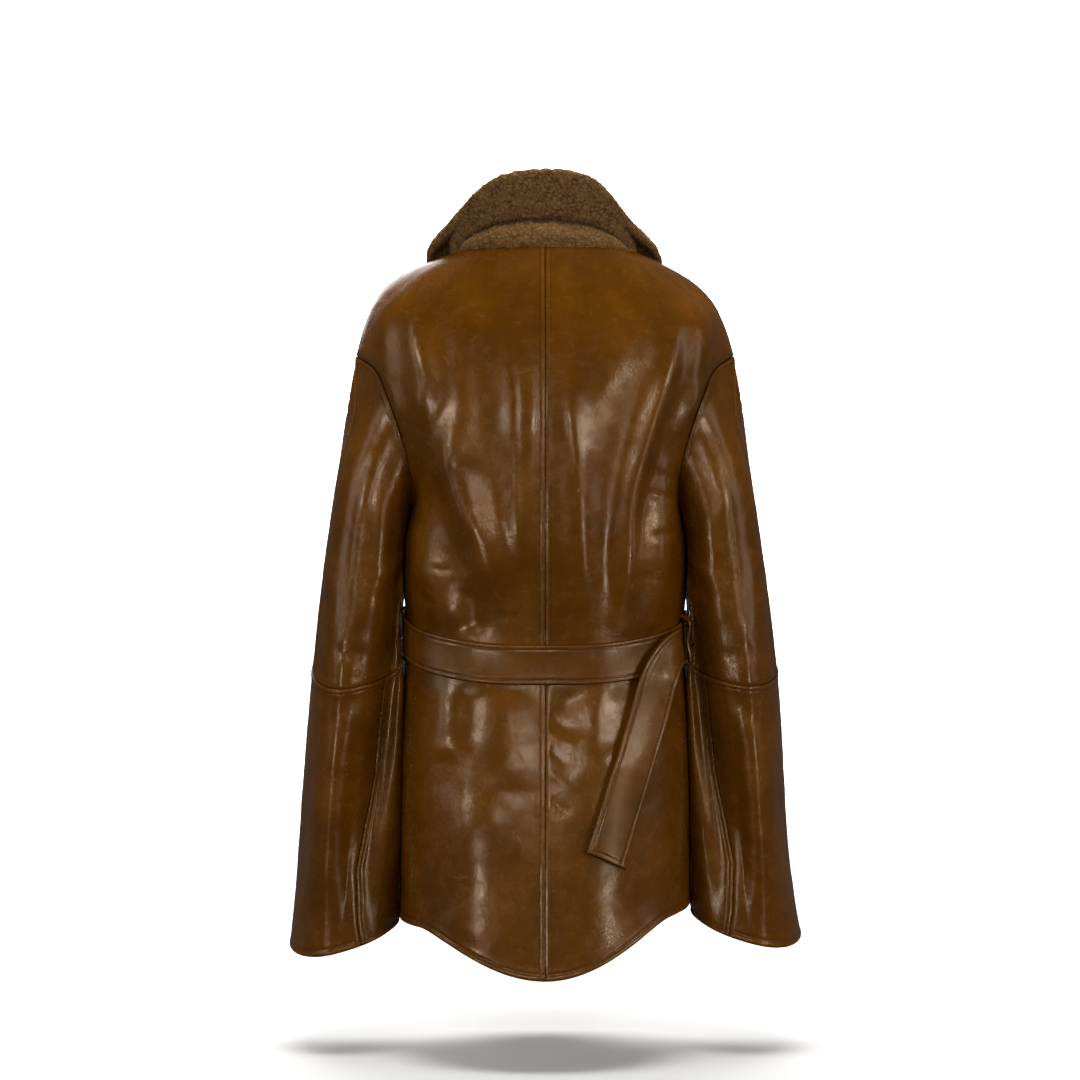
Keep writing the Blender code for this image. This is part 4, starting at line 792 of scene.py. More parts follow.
def blend(tree, share, base, over):
    """A colour with this share of a fixed one over it."""
    mixed = node(tree, "ShaderNodeMix", {"data_type": "RGBA"}, {0: share, 6: base})
    mixed.inputs[7].default_value = over
    return mixed.outputs[2]


def shaded(tree, base, shade):
    """The product of two colours."""
    settings = {"data_type": "RGBA", "blend_type": "MULTIPLY", 0: 1.0}
    return node(tree, "ShaderNodeMix", settings, {6: base, 7: shade}).outputs[2]


def toned(tree, base, tone):
    """A colour, lighter or darker."""
    return node(tree, "ShaderNodeHueSaturation", {"Value": tone}, {"Color": base}).outputs[0]


def bump(tree, height, strength, distance, under=None):
    """Normals of a surface that this height raises, over the normals under it."""
    links = {"Height": height} if under is None else {"Height": height, "Normal": under}
    return node(tree, "ShaderNodeBump", {"Strength": strength, "Distance": distance}, links).outputs[0]


def new_material(name):
    """An empty material, its nodes, and the places on the object that wears it."""
    material = bpy.data.materials.new(name)
    material.use_nodes = True
    material.node_tree.nodes.clear()
    return material, material.node_tree, node(material.node_tree, "ShaderNodeTexCoord").outputs["Object"]


def surface(tree, settings, links):
    """The shader that a material ends in."""
    shader = node(tree, "ShaderNodeBsdfPrincipled", settings, links)
    node(tree, "ShaderNodeOutputMaterial", links={"Surface": shader.outputs[0]})
    return shader


def leather_material(name, tone, colours, bend=1.0):
    """Waxed aniline sheepskin: a glossy skin over brown hide, mottled by handling, with a fine pebble,
    a crinkle that breaks up the gloss and hairline creases where the finish has gone light."""
    material, tree, place = new_material(name)
    # Mottling: cloudy patches about 60 mm across, and smaller ones of 14 mm.
    clouds = noise(tree, place, 16.0, 3.0, 0.55)
    patches = noise(tree, place, 70.0, 3.0, 0.6)
    mottle = node(tree, "ShaderNodeMix", {"data_type": "FLOAT", "Factor": 0.20}, {2: clouds, 3: patches})
    dye = ramp(tree, mottle.outputs[0],
               ((0.32, colours.leather_dark), (0.50, colours.leather), (0.70, colours.leather_light)))
    # Places on the skin, pulled out of shape, and longer across the coat than down it.
    skin = pulled(tree, place, 38.0, 0.012)
    flat = node(tree, "ShaderNodeMapping", {"Scale": (1.0, 1.0, 2.2)}, {"Vector": skin}).outputs[0]
    # Hairlines: a net with cells about 25 mm across, of which only short stretches show.
    hair = ramp(tree, cells(tree, flat, 40.0), ((0.0, grey(1.0)), (0.013, grey(0.0))))
    shown = ramp(tree, patches, ((0.50, grey(0.0)), (0.60, grey(1.0))))
    lines = times(tree, hair, shown)
    lined = blend(tree, times(tree, lines, 0.30), toned(tree, dye, tone), colours.crack)
    # Seams: painted shade in the groove where two pieces meet and along the stitch groove, and a painted
    # highlight on the welt beside it.
    seam = times(tree, attribute(tree, "seam_mm"), 0.05)
    near = ramp(tree, seam, ((0.0, grey(0.40)), (0.035, grey(0.8)), (0.09, grey(1.25)), (0.22, grey(1.1)),
                             (0.275, grey(0.62)), (0.33, grey(0.95)), (1.0, grey(1.0))))
    # Crinkle: fine wrinkles about 4 mm apart and longer down the coat, in patches about 60 mm across.
    drawn = node(tree, "ShaderNodeMapping", {"Scale": (1.0, 1.0, 0.5)}, {"Vector": skin}).outputs[0]
    crinkle = noise(tree, drawn, 260.0, 3.0, 0.65)
    zoned = node(tree, "ShaderNodeMapRange", {1: 0.35, 2: 0.65, 3: 0.12 * bend, 4: 0.50 * bend}, {0: clouds})
    rise = node(tree, "ShaderNodeBump", {"Distance": 0.55 * MM},
                {"Strength": zoned.outputs[0], "Height": crinkle})
    scored = bump(tree, lines, 0.35 * bend, -0.25 * MM, rise.outputs[0])
    # Pebble: grain about 2 mm across.
    grain = bump(tree, noise(tree, place, 480.0, 2.0, 0.7), 0.45, 0.20 * MM, scored)
    gloss = ramp(tree, patches, ((0.3, grey(0.32 - 0.10 * bend)), (0.7, grey(0.42 - 0.10 * bend))))
    shader = surface(tree, {"IOR": 1.5, "Specular IOR Level": 0.45,
                            "Coat Weight": 0.10, "Coat Roughness": 0.12, "Coat IOR": 1.5},
                     {"Base Color": shaded(tree, lined, near), "Roughness": gloss,
                      "Normal": grain, "Coat Normal": grain})
    # The dye tints what the surface mirrors.
    shader.inputs["Specular Tint"].default_value = (1.0, 0.72, 0.46, 1.0)
    return material


def fleece_material(name, tone, colours, gaps=1.0):
    """Curly sheepskin pile: matt wool in close curls about 5 mm across, with painted shade in the thin gaps
    between them, painted light on the tops of the curls and a soft sheen."""
    material, tree, place = new_material(name)
    locks = cells(tree, pulled(tree, place, 330.0, 0.0035), 195.0)
    # Painted shade in the thin gaps between the curls, deep only here and there.
    gap = ramp(tree, locks, ((0.0, grey(1.0)), (0.06, grey(0.6)), (0.17, grey(0.0))))
    depth = ramp(tree, noise(tree, place, 120.0, 2.0), ((0.36, grey(0.22 * gaps)), (0.62, grey(gaps))))
    # The wool has painted light on the tops of the curls, and painted shade where the collar folds over its
    # stand.
    dark, middle, light = (tuple(c) for c in (colours.fleece_gap_shade, colours.fleece, colours.fleece_lit_tips))
    curl, fold = (attribute(tree, word) for word in ("curl", "fold"))
    wool = ramp(tree, curl, ((0.20, middle), (0.85, light)))
    gap_shaded_wool = blend(tree, times(tree, gap, depth), wool, dark)
    folded = shaded(tree, gap_shaded_wool, ramp(tree, fold, ((0.0, grey(1.0)), (1.0, grey(0.30)))))
    domes = ramp(tree, locks, ((0.0, grey(0.0)), (0.16, grey(0.6)), (0.45, grey(1.0))))
    swirl = bump(tree, domes, 0.9, 1.2 * MM)
    fibre = bump(tree, noise(tree, place, 1400.0, 2.0, 0.7), 0.6, 0.4 * MM, swirl)
    shader = surface(tree, {"Roughness": 0.95, "Specular IOR Level": 0.12,
                            "Sheen Weight": 0.20, "Sheen Roughness": 0.5},
                     {"Base Color": toned(tree, folded, tone), "Normal": fibre})
    shader.inputs["Sheen Tint"].default_value = light
    return material


def thread_material(colours):
    """Bonded polyester thread: twisted, slightly shiny, a little darker than the leather, which also paints
    shade in the stitch holes.
    """
    _, tree, place = new_material("bonded_thread")
    ply = bump(tree, noise(tree, place, 1500.0, 1.0), 0.4, 0.2 * MM)
    surface(tree, {"Base Color": tuple(colours.thread), "Roughness": 0.5}, {"Normal": ply})


def floor_material(colours):
    """Matt studio paint, a touch uneven."""
    material, tree, place = new_material("matt_studio_paint")
    specks = times(tree, noise(tree, place, 3.0, 2.0), 0.04)
    tint = node(tree, "ShaderNodeMix", {"data_type": "RGBA", 7: (0.8, 0.8, 0.8, 1.0)}, {0: specks})
    tint.inputs[6].default_value = colours.floor
    surface(tree, {"Roughness": 0.9}, {"Base Color": tint.outputs[2]})
    return material


def coat_materials():
    """The coat's materials by name, made once."""
    if "waxed_sheepskin_leather" not in bpy.data.materials:
        colours = bpy.context.scene.coat_colours
        leather_material("waxed_sheepskin_leather", 1.0, colours)
        leather_material("folded_belt_leather", 0.92, colours, bend=0.6)
        fleece_material("curly_sheepskin_pile", 1.08, colours)
        # The stand's copy is toned lighter as painted light on its upturned face, with shallower painted shade
        # between its curls.
        fleece_material("lit_stand_sheepskin_pile", 1.14, colours, gaps=0.7)
        fleece_material("clipped_lining_pile", 0.8, colours)
        thread_material(colours)
    return bpy.data.materials


def hide_pair():
    """The materials of a panel's leather and of its lining."""
    found = coat_materials()
    return [found["waxed_sheepskin_leather"], found["clipped_lining_pile"]]


def finish_leather(name, grid, normals, seams, nodes, inward=None):
    """Puts the seams on a panel's grid, gives it its wall and lays out its stitches."""
    height, nearest = seam_relief(grid, seams)
    outer = grid + normals * height[..., None]
    inward = -normals if inward is None else inward
    # Where the wall is pressed thin its far side can show, so it is leather on both sides there.
    bare = np.linalg.norm(inward, axis=-1) < PRESSED_BARE
    piece = wall_mesh(name, outer, grid + inward * HIDE, hide_pair(), {"seam_mm": nearest / MM}, bare)
    declare(nodes)
    SEWING.follow(outer, normals, seams)


# --- Body panels -----------------------------------------------------------------------------------
def over_lift(x):
    """How far the right front is lifted to lie over the left one."""
    return LAP_STEP * ease((x + FRONT_LAP + LAP_RAMP) / LAP_RAMP)


def front_with_lap(front, other):
    """The front quarter with its lap past the centre line, where it follows the other quarter."""
    places = crowded(FRONT_LAP, LAP_SPACING, high=False)[::-1][:-1] * FRONT_LAP
    lap = np.array([read_along(places, np.abs(row[:, 0]), row) for row in other])
    return np.concatenate([lap, front], axis=1)


def make_body(sizes):
    places = {which: fine_places(which, sizes) for which in ("back", "front")}
    quarters = {(side, which): body_quarter(which, side, *places[which], sizes)
                for side in (1, -1) for which in ("back", "front")}
    for side, word in ((1, "left"), (-1, "right")):
        back, normals = quarters[side, "back"]
        seams = ("over" if side > 0 else "under", "under", "turned", None)
        finish_leather(f"back_panel_{word}", back, normals, seams, [f"back_{word}"])
        front, _ = quarters[side, "front"]
        grid = front_with_lap(front, quarters[-side, "front"][0])
        own = grid_normals(grid) * side
        if side < 0:
            grid = grid + own * over_lift(grid[..., 0])[..., None]
        seams = ("turned", "over", "turned", None)
        finish_leather(f"front_panel_{word}", grid, own, seams, [f"front_{word}"])


# --- Sleeves -----------------------------------------------------------------------------------------
def loop_points(angle):
    """Points of the armhole at these degrees: down its back edge from the tip, then up its front edge."""
    turn = (angle % 360.0) / 180.0
    flat = turn.ravel()
    back = curve([e.share for e in ARMHOLE_BACK], [e[1:4] for e in ARMHOLE_BACK], np.clip(1 - flat, 0, 1))
    front = curve([e.share for e in ARMHOLE_FRONT], [e[1:4] for e in ARMHOLE_FRONT], np.clip(flat - 1, 0, 1))
    return np.where((flat <= 1)[:, None], back, front).reshape(*angle.shape, 3)


def sleeve_form(side, station, angle):
    """A sleeve's outer points at these stations and degrees."""
    def ring_at(where):
        read = curve([r.station for r in RINGS], [r[1:] for r in RINGS], where.ravel())
        read = read.reshape(*where.shape, 12)
        out, inside = read[..., 0:3], read[..., 3:6]
        back, front, dip, inner, notch, notch_at = (read[..., k] for k in range(6, 12))
        c, s = np.cos(np.radians(angle)), np.sin(np.radians(angle))
        across = np.where(c < 0, -(np.abs(c) ** INNER_SQUARE), c)
        ring = (out + inside) / 2 + (out - inside) / 2 * across[..., None]
        drawn_in = 1 - inner * np.clip(s, 0.0, 1.0) * np.clip(0.35 - c, 0.0, 1.0)
        ring[..., 1] += np.where(s > 0, back * drawn_in, front) * s
        ring[..., 2] -= dip * s
        turned = (angle + 90) % 360 - 90
        return ring, notch * np.exp(-(((turned - notch_at) / NOTCH_WIDTH) ** 2)), c

    ring, trough, c = ring_at(station)
    first, _, _ = ring_at(np.zeros_like(station))
    ring += (loop_points(angle) - first) * (1 - ease(station / LOOP_FADE))[..., None]
    if side < 0:
        sway = curve([w.station for w in RIGHT_SWAY], [w[1:] for w in RIGHT_SWAY], station.ravel())
        sway = sway.reshape(*station.shape, 2) * ease(station / LOOP_FADE)[..., None]
        ring[..., 0] += sway[..., 0] * np.clip(c, 0.0, 1.0)
        ring[..., 2] += sway[..., 1]
        ring = mirrored(ring)
    ring[..., 1] -= trough
    return ring


SLEEVE_ROWS = np.concatenate([np.linspace(0.0, ELBOW, 12)[:-1], np.linspace(ELBOW, 1.0, 10)])


def beside_belt(points, reach):
    """1 at the height of the belt's sides, and down to 0 this far above and below it."""
    return np.exp(-(((points[..., 2] - belt_height(0.002)) / reach) ** 4))


def sleeve_lift(side, quarters):
    """How far each place of a sleeve is moved to lie clear of the body and the belt, on a coarse grid."""
    angle, station = np.meshgrid(np.linspace(0, 360, SLEEVE_COLUMNS, endpoint=False), SLEEVE_ROWS)
    ring = sleeve_form(side, station, angle)
    clear = SLEEVE_CLEAR * ease(station / 0.10) + BELT_ROOM * beside_belt(ring, 0.034)
    lifted = lift_clear(ring, *body_cloud(quarters, side), clear) - ring
    lifted[0] = 0.0
    return lifted


def elbow_at(angle, side):
    """The elbow seam sags a little at the back."""
    return ELBOW + ELBOW_SAG[side] * np.clip(np.sin(np.radians(angle)), 0.0, 1.0)


def lower_seam(station):
    """Degrees of the lower sleeve's back seam, which runs in the fold and comes out of it near the cuff."""
    return np.interp(station, *LOWER_SEAM)


def top_seam(station):
    """Degrees of the upper sleeve's top seam, a little behind the sleeve's edge."""
    return TOP_SEAM * ease(station / 0.12)


def sleeve_grid(side, lifted, name, sizes):
    """Points and normals of one piece of a sleeve, and the way to its far side."""
    upper = name.startswith("upper")
    length, width = UPPER_SIZE if upper else LOWER_SIZE
    u, v = np.meshgrid(crowded(width, sizes.spacing), crowded(length, sizes.spacing))
    if upper:
        start, end = (0.0, 180.0) if name == "upper_back" else (180.0, 360.0)
        station = v * ELBOW
        shift = top_seam(station)
        angle = start + (end - start) * u + shift * ((1 - u) if start == 0.0 else u)
        station = v * elbow_at(angle, side)
    else:
        station = ELBOW + (1 - ELBOW) * v
        seam = lower_seam(station)
        start, end = (seam - 180.0, seam) if name == "lower_outer" else (seam, seam + 180.0)
        angle = start + (end - start) * u
        first = elbow_at(angle, side)
        station = first + (1 - first) * v
    points = sleeve_form(side, station, angle)
    row = np.interp(station, SLEEVE_ROWS, np.arange(len(SLEEVE_ROWS)))
    points = points + sample(lifted, row, (angle % 360.0) / (360.0 / SLEEVE_COLUMNS), wrap=True)
    normals = grid_normals(points)
    away = points - points.mean(axis=1, keepdims=True)
    if (normals * away).sum() < 0:
        normals = -normals
    height = 0.0
    for crease in SLEEVE_CREASES:
        path = [(a * np.pi / 180 * SLEEVE_RADIUS, s * SLEEVE_LENGTH) for a, s in crease.points]
        # Laid flat, the sleeve is cut open at its front for creases of the back, else at its outer edge.
        opened = (angle + 90) % 360 - 90 if crease.points[0][0] < 200 else angle % 360.0
        height = height + crease_height(opened * np.pi / 180 * SLEEVE_RADIUS, station * SLEEVE_LENGTH, path,
                                        crease.wide0, crease.wide1, crease.left if side > 0 else crease.right)
    height = height * ease(station / 0.05) * sizes.crease_depth
    height = height + ripples(points, 11 + side, sizes.ripple)
    edge = np.minimum(arcs(points, 1), arcs(points, 1)[:, -1:] - arcs(points, 1))
    height = height * (0.25 + 0.75 * ease(edge / 0.012))
    # The creases are calm beside the belt.
    calm = 1 - 0.8 * beside_belt(points, 0.040) * (np.abs(points[..., 0]) < 0.175)
    # At the narrow fold of the arm side the far face is led towards the middle of the piece.
    from_fold = (angle % 360.0) - 180.0
    folded = np.exp(-((from_fold / FOLD_DEGREES) ** 2))[..., None]
    inward = unit(-normals * (1 - folded) - unit(away) * folded)
    # The wall is thin on both sides of that fold, down to just below the elbow.
    above = 1 - ease((station - PRESSED_FROM) / PRESSED_FADE)
    pressed = np.exp(-((from_fold / PRESSED_DEGREES) ** 2)) * above
    inward = inward * (1 - PRESSED_SHARE * pressed)[..., None]
    return points + normals * (height * calm)[..., None], normals, inward


def make_sleeves(sizes):
    quarters = coarse_quarters(sizes)
    for side, word in ((1, "left"), (-1, "right")):
        lifted = sleeve_lift(side, quarters)
        for name, seams in (
            ("upper_back", ("over", "under", "over", "under")),
            ("upper_front", ("over", "under", "over", "under")),
            ("lower_outer", ("under", "under", "over", "turned")),
            ("lower_inner", ("over", "over", "over", "turned")),
        ):
            grid, normals, inward = sleeve_grid(side, lifted, name, sizes)
            finish_leather(f"{word}_sleeve_{name}", grid, normals, seams, [f"sleeve_{name}_{word}"],
                           inward)


# --- Collar ------------------------------------------------------------------------------------------
def neck_line(quarters):
    """Middle of the neck's rim over the +X half, at the height that the collar stands on."""
    (back, back_normals), (front, front_normals) = quarters[1, "back"], quarters[1, "front"]
    rim = np.concatenate([back[-1], front[-1, -2::-1]])
    normals = np.concatenate([back_normals[-1], front_normals[-1, -2::-1]])
    line = rim - normals * HIDE / 2
    run = run_along(line)
    over = RIM_ALLOWANCE * over_lift(-rim[:, 0]) * (np.arange(len(rim)) >= back.shape[1])
    line[:, 2] = rim[:, 2] + np.maximum(over, -normals[:, 2] * HIDE) + FOOT_CLEAR
    return run / run[-1], line


def leaf_middle(quarters, shares, across):
    """Middle surface of the leaf's +X half, rows from the neck seam to the free edge."""
    knots, line = neck_line(quarters)
    ahead, behind = np.minimum(shares + 0.03, 1.0), np.maximum(shares - 0.03, 0.0)
    run = curve(knots, line, ahead) - curve(knots, line, behind)
    out = unit(np.column_stack([-run[:, 1], run[:, 0], np.zeros(len(shares))]))
    out[shares < 1e-6] = (0.0, 1.0, 0.0)
    out[:, 0] += POINT_SPREAD * ease((shares - 0.72) / 0.28)
    out = unit(out)
    points = curve(knots, line, shares)
    read = curve([s.share for s in SECTIONS], [s[1:] for s in SECTIONS], shares)
    t = across[:, None, None]
    parts = ((1 - t) ** 3, 3 * t * (1 - t) ** 2, 3 * t**2 * (1 - t), t**3)
    outward = sum(b * read[None, :, 2 * k : 2 * k + 1] for k, b in enumerate(parts))
    upward = sum(b * read[None, :, 2 * k + 1 : 2 * k + 2] for k, b in enumerate(parts))
    return points[None] + out[None] * outward + np.array([0.0, 0.0, 1.0]) * upward


def whole(half):
    """Both halves of a collar piece, swayed a little to one side at the top."""
    both = np.concatenate([mirrored(half)[:, :0:-1], half], axis=1)
    both[..., 0] += COLLAR_SWAY * np.sin(np.pi * np.clip(both[..., 2] / COLLAR_TOP, 0.0, 1.0))
    return both


def leaf_half(quarters, shares, across):
    """The leaf's middle surface, held off the coat."""
    middle = leaf_middle(quarters, shares, across)
    cloud, normals = body_cloud(quarters, 1)
    held_off = ease((across[:, None] - 0.3) / 0.3) * ease((shares[None] - 0.25) / 0.12)
    clear = np.where(held_off > 0, (PILE_COLLAR / 2 + LAP_STEP + 0.0015) * held_off, -1.0)
    return lift_clear(middle, cloud, normals, clear)


def curly(grid, normals, seed, sizes):
    """Presses curls into a fleece surface: domes at seeded places, each with its own height, with
    gaps between them. Returns the new points and how high in its curl each point is."""
    random = np.random.default_rng(seed)
    flat = grid.reshape(-1, 3)
    down, across = (np.linalg.norm(np.diff(grid, axis=axis), axis=2).mean() for axis in (0, 1))
    count = int(len(flat) * (down * across) / (sizes.curl**2) * 1.15)
    seeds = flat[random.integers(0, len(flat), count)] + random.normal(size=(count, 3)) * 0.3 * MM
    rise = random.uniform(0.45, 1.0, count)
    tree = kdtree.KDTree(count)
    for k, point in enumerate(seeds):
        tree.insert(point, k)
    tree.balance()
    warp = np.stack([ripples(flat, seed + k, 1.0 * MM, 0.012, 0.004) for k in range(3)], axis=1)
    height = np.empty(len(flat))
    for k, point in enumerate(flat + warp):
        (_, first, near), (_, _, next_near) = tree.find_n(point, 2)
        gap = min(1.0, (next_near - near) / (0.42 * sizes.curl))
        dome = math.sqrt(max(0.0, 1 - (near / (0.85 * sizes.curl)) ** 2))
        height[k] = (0.35 + 0.65 * dome) * (0.5 + 0.5 * gap * (2 - gap)) * (0.55 + 0.45 * rise[first])
    height = height.reshape(grid.shape[:2])
    amount = sizes.curl_height * (height - 0.35)
    return grid + normals * amount[..., None], height


def fleece_wall(name, outer, inner, material, seed, sizes, node_name, fold):
    """A wall of fleece with curls on both faces. fold: how deep in shade the places of its +X half are."""
    ways = unit(outer - inner)
    outer_way = grid_normals(outer)
    outer_way = outer_way * np.sign((outer_way * ways).sum(axis=2, keepdims=True))
    inner_way = grid_normals(inner)
    inner_way = inner_way * -np.sign((inner_way * ways).sum(axis=2, keepdims=True))
    far, far_height = curly(outer, outer_way, seed, sizes)
    near, near_height = curly(inner, inner_way, seed + 7, sizes)
    curls = np.concatenate([far_height.ravel(), near_height.ravel()])
    fold = np.concatenate([fold[:, :0:-1], fold], axis=1)
    piece = wall_mesh(name, far, near, [coat_materials()[material]], {"curl": curls, "fold": fold})
    declare([node_name])


def make_collar(sizes):
    middle = leaf_half(coarse_quarters(sizes), np.linspace(0.0, COLLAR_END, LEAF_COLUMNS + 1),
                       np.linspace(0.0, 1.0, LEAF_ROWS + 1))
    columns, rows = round(LEAF_LONG / FLEECE_STEP), round(LEAF_DEEP / FLEECE_STEP)
    column, row = np.meshgrid(np.linspace(0, LEAF_COLUMNS, columns), np.linspace(0, LEAF_ROWS, rows))
    fine = sample(middle, row, column)
    ways = -grid_normals(fine)
    ways[:, 0, 0] = 0.0
    ways[0, :, 2] = 0.0
    ways = unit(ways)
    across = row / LEAF_ROWS
    # The edge is rounded over its last 9 mm and each end over its last 7 mm.
    tips = np.clip((1 - across) * LEAF_DEEP / 9.0, 0.0, 1.0)
    half = PILE_COLLAR / 2 * (1 - (1 - LEAF_EDGE) * ease(across * 4 - 3))
    half = half * np.sqrt(1 - (1 - tips) ** 2 * 0.85)
    inset = np.clip((column.max() - column) / LEAF_COLUMNS * LEAF_LONG / 7.0, 0.0, 1.0)
    half = (half * np.sqrt(1 - (1 - inset) ** 2 * 0.8))[..., None]
    outer, inner = fine + ways * half, fine - ways * half
    # The fleece comes down over the neck seam.
    outer[..., 2] -= FOOT_DROP * (1 - ease(across * LEAF_DEEP / 8.0))
    # The leaf is in shade just over the stand, and along the line where the two meet.
    shares = column / LEAF_COLUMNS * COLLAR_END
    over_stand = outer[..., 2] - outer[:1, :, 2] - STAND_RISE * stand_part(np.minimum(shares, STAND_REACH))
    beside = ease((STAND_REACH + 0.03 - shares) / 0.03)
    shade, line = np.exp(-((over_stand / 0.012) ** 2)), np.exp(-(((over_stand - 0.001) / 0.0030) ** 2))
    fold = (0.35 * shade + 0.65 * line) * beside
    fleece_wall("collar_leaf_fleece", whole(outer), whole(inner), "curly_sheepskin_pile", 21, sizes,
                "collar_leaf", fold)
    make_stand(outer, shares, sizes)


def stand_part(reach):
    """Share of its height that the stand keeps at this share of the neck."""
    return 1 - (reach / (STAND_REACH + 0.02)) ** 2.4


def make_stand(leaf, shares, sizes):
    """The crescent of fleece that shows below the leaf at the back of the neck."""
    reach = np.linspace(0.0, STAND_REACH, STAND_COLUMNS)
    part = stand_part(reach)
    levels = np.linspace(0.0, 1.0, STAND_ROWS)
    read = np.stack([curve(shares[0], row, reach) for row in leaf[::3]], axis=1)
    inner = np.stack([read_along(line[0, 2] + STAND_RISE * tall * levels, line[:, 2], line)
                      for line, tall in zip(read, part)], axis=1)
    ways = -grid_normals(inner)
    ways[:, 0, 0] = 0.0
    ways = unit(ways)
    inner = inner + ways * STAND_GAP
    # Its face is rounded from its foot to its top, where the leaf shades it.
    round_over = np.sin(np.pi * np.linspace(0.10, 0.94, len(levels)))[:, None] ** 0.8
    outer = inner + ways * (STAND_WALL * round_over * part)[..., None]
    fold = np.repeat(0.9 * ease((levels[:, None] - 0.86) / 0.14), len(reach), axis=1)
    fleece_wall("collar_stand_fleece", whole(outer), whole(inner), "lit_stand_sheepskin_pile", 33, sizes,
                "collar_stand", fold)


# --- Belt --------------------------------------------------------------------------------------------
def belt_rings():
    """Fine rings of the body's plain form round the waist, and the angle of each of their points."""
    stations = np.linspace(*BELT_RINGS)
    parts = []
    for which, side in (("front", 1), ("back", 1), ("back", -1), ("front", -1)):
        grid = quarter_surface(which, np.linspace(0, 1, 61), stations)
        grid = grid if side > 0 else mirrored(grid)
        forward = (which == "front") == (side > 0)
        parts.append(grid[:, :-1] if forward else grid[:, :0:-1])
    rings = np.concatenate(parts, axis=1)
    rings = np.concatenate([rings, rings[:, :1]], axis=1)
    turn = np.unwrap(np.arctan2(rings[..., 1] - BELT_AXIS[1], rings[..., 0] - BELT_AXIS[0]), axis=1)
    return rings, turn


def belt_place(angles, drop, off, around):
    """Points round the body's plain form at these angles, this far below the belt's middle and off it."""
    rings, turn = around
    angles, drop, off = np.broadcast_arrays(*(np.asarray(a, float) for a in (angles, drop, off)))
    want = np.radians(angles)
    at = np.stack([read_along((want - t[0]) % FULL_TURN + t[0], t, ring) for t, ring in zip(turn, rings)])
    rise = at[..., 2] - belt_height(at[..., 1]) + drop
    above = np.clip((rise > 0).argmax(axis=0), 1, len(at) - 1)
    high = np.take_along_axis(rise, above[None], 0)[0]
    low = np.take_along_axis(rise, above[None] - 1, 0)[0]
    share = (-low / np.maximum(high - low, 1e-9))[..., None]
    upper = np.take_along_axis(at, above[None, ..., None], 0)[0]
    lower = np.take_along_axis(at, above[None, ..., None] - 1, 0)[0]
    points = lower + (upper - lower) * share
    return points + unit(points * BELT_OUT) * off[..., None]


def make_belt(sizes):
    around = belt_rings()
    angles = np.linspace(BELT_START, BELT_STOP, BELT_COLUMNS)
    over = BELT_THICK + BELT_CLEAR
    turns = (BELT_START - angles) / 360.0
    layer = over * ease((turns - SECOND_LAYER) / LAYER_RAMP)
    first = belt_place(angles, 0.0, 0.0, around)
    # It steps up where the right front laps over the left one.
    on_front = ease(-first[:, 1] / 0.03)
    lap = LAP_STEP * on_front * ease((first[:, 0] + 0.116) / 0.045) * ease((0.100 - first[:, 0]) / 0.036)
    wave = ripples(first, 51, 0.25 * MM, 0.08, 0.03)
    off = BELT_CLEAR + layer + lap + np.abs(wave) * 0.6
    drops = (crowded(BELT_WIDTH, BELT_SPACING)[:, None] - 0.5) * BELT_WIDTH
    crown = 0.9 * MM * (1 - (2 * drops / BELT_WIDTH) ** 2)
    inner = belt_place(angles[None], drops, off[None], around)
    grid = belt_place(angles[None], drops, off[None] + BELT_FACE + crown, around)
    normals = grid_normals(grid)
    normals = normals * np.sign((normals * (grid - inner)).sum(axis=2, keepdims=True))
    height, nearest = seam_relief(grid, (None, "bound", "bound", "bound"))
    height[:, 0] -= 0.3 * MM
    outer = grid + normals * height[..., None]
    belt = coat_materials()["folded_belt_leather"]
    piece = wall_mesh("tie_belt", outer, inner, [belt], {"seam_mm": nearest / MM})
    declare(["belt"])
    SEWING.follow(outer, normals, (None, "bound", "bound", "bound"))
    for word, angle, layers in (("left", LOOP_LEFT, 1), ("right", LOOP_RIGHT, 2)):
        make_belt_loop(word, angle, layers * over + 2 * BELT_CLEAR, around)
    make_belt_end(sizes)


def make_belt_loop(word, angle, stand_off, around):
    """A narrow strip from the body above the belt, over it, and back to the body below it."""
    half = BELT_WIDTH / 2
    below = np.array([(0.0, stand_off), (half + 0.0020, stand_off), (half + 0.0045, stand_off * 0.6),
                      (half + 0.0065, 0.0005)])
    route = np.concatenate([below[:0:-1] * (-1, 1), below])
    run = run_along(route)
    fine = curve(run, route, np.linspace(0, run[-1], 60))
    away = np.gradient(fine, axis=0)
    away = unit(np.column_stack([-away[:, 1], away[:, 0]]))
    u = np.linspace(-1.0, 1.0, 15)
    spread = np.degrees(LOOP_WIDTH / 2 / BODY_RADIUS) * u
    puff = LOOP_THICK * np.sqrt(np.maximum(0.06, 1 - np.abs(u) ** 2.6))
    inner = belt_place(angle + spread[None], fine[:, :1] + 0 * u, fine[:, 1:] + 0 * u, around)
    outer = belt_place(angle + spread[None], fine[:, :1] + away[:, :1] * puff,
                       fine[:, 1:] + away[:, 1:] * puff, around)
    belt = coat_materials()["folded_belt_leather"]
    plain = np.full(outer.shape[:2], 6.0)
    piece = wall_mesh(f"belt_carrier_{word}", outer, inner, [belt], {"seam_mm": plain})
    declare([f"belt_loop_{word}"])


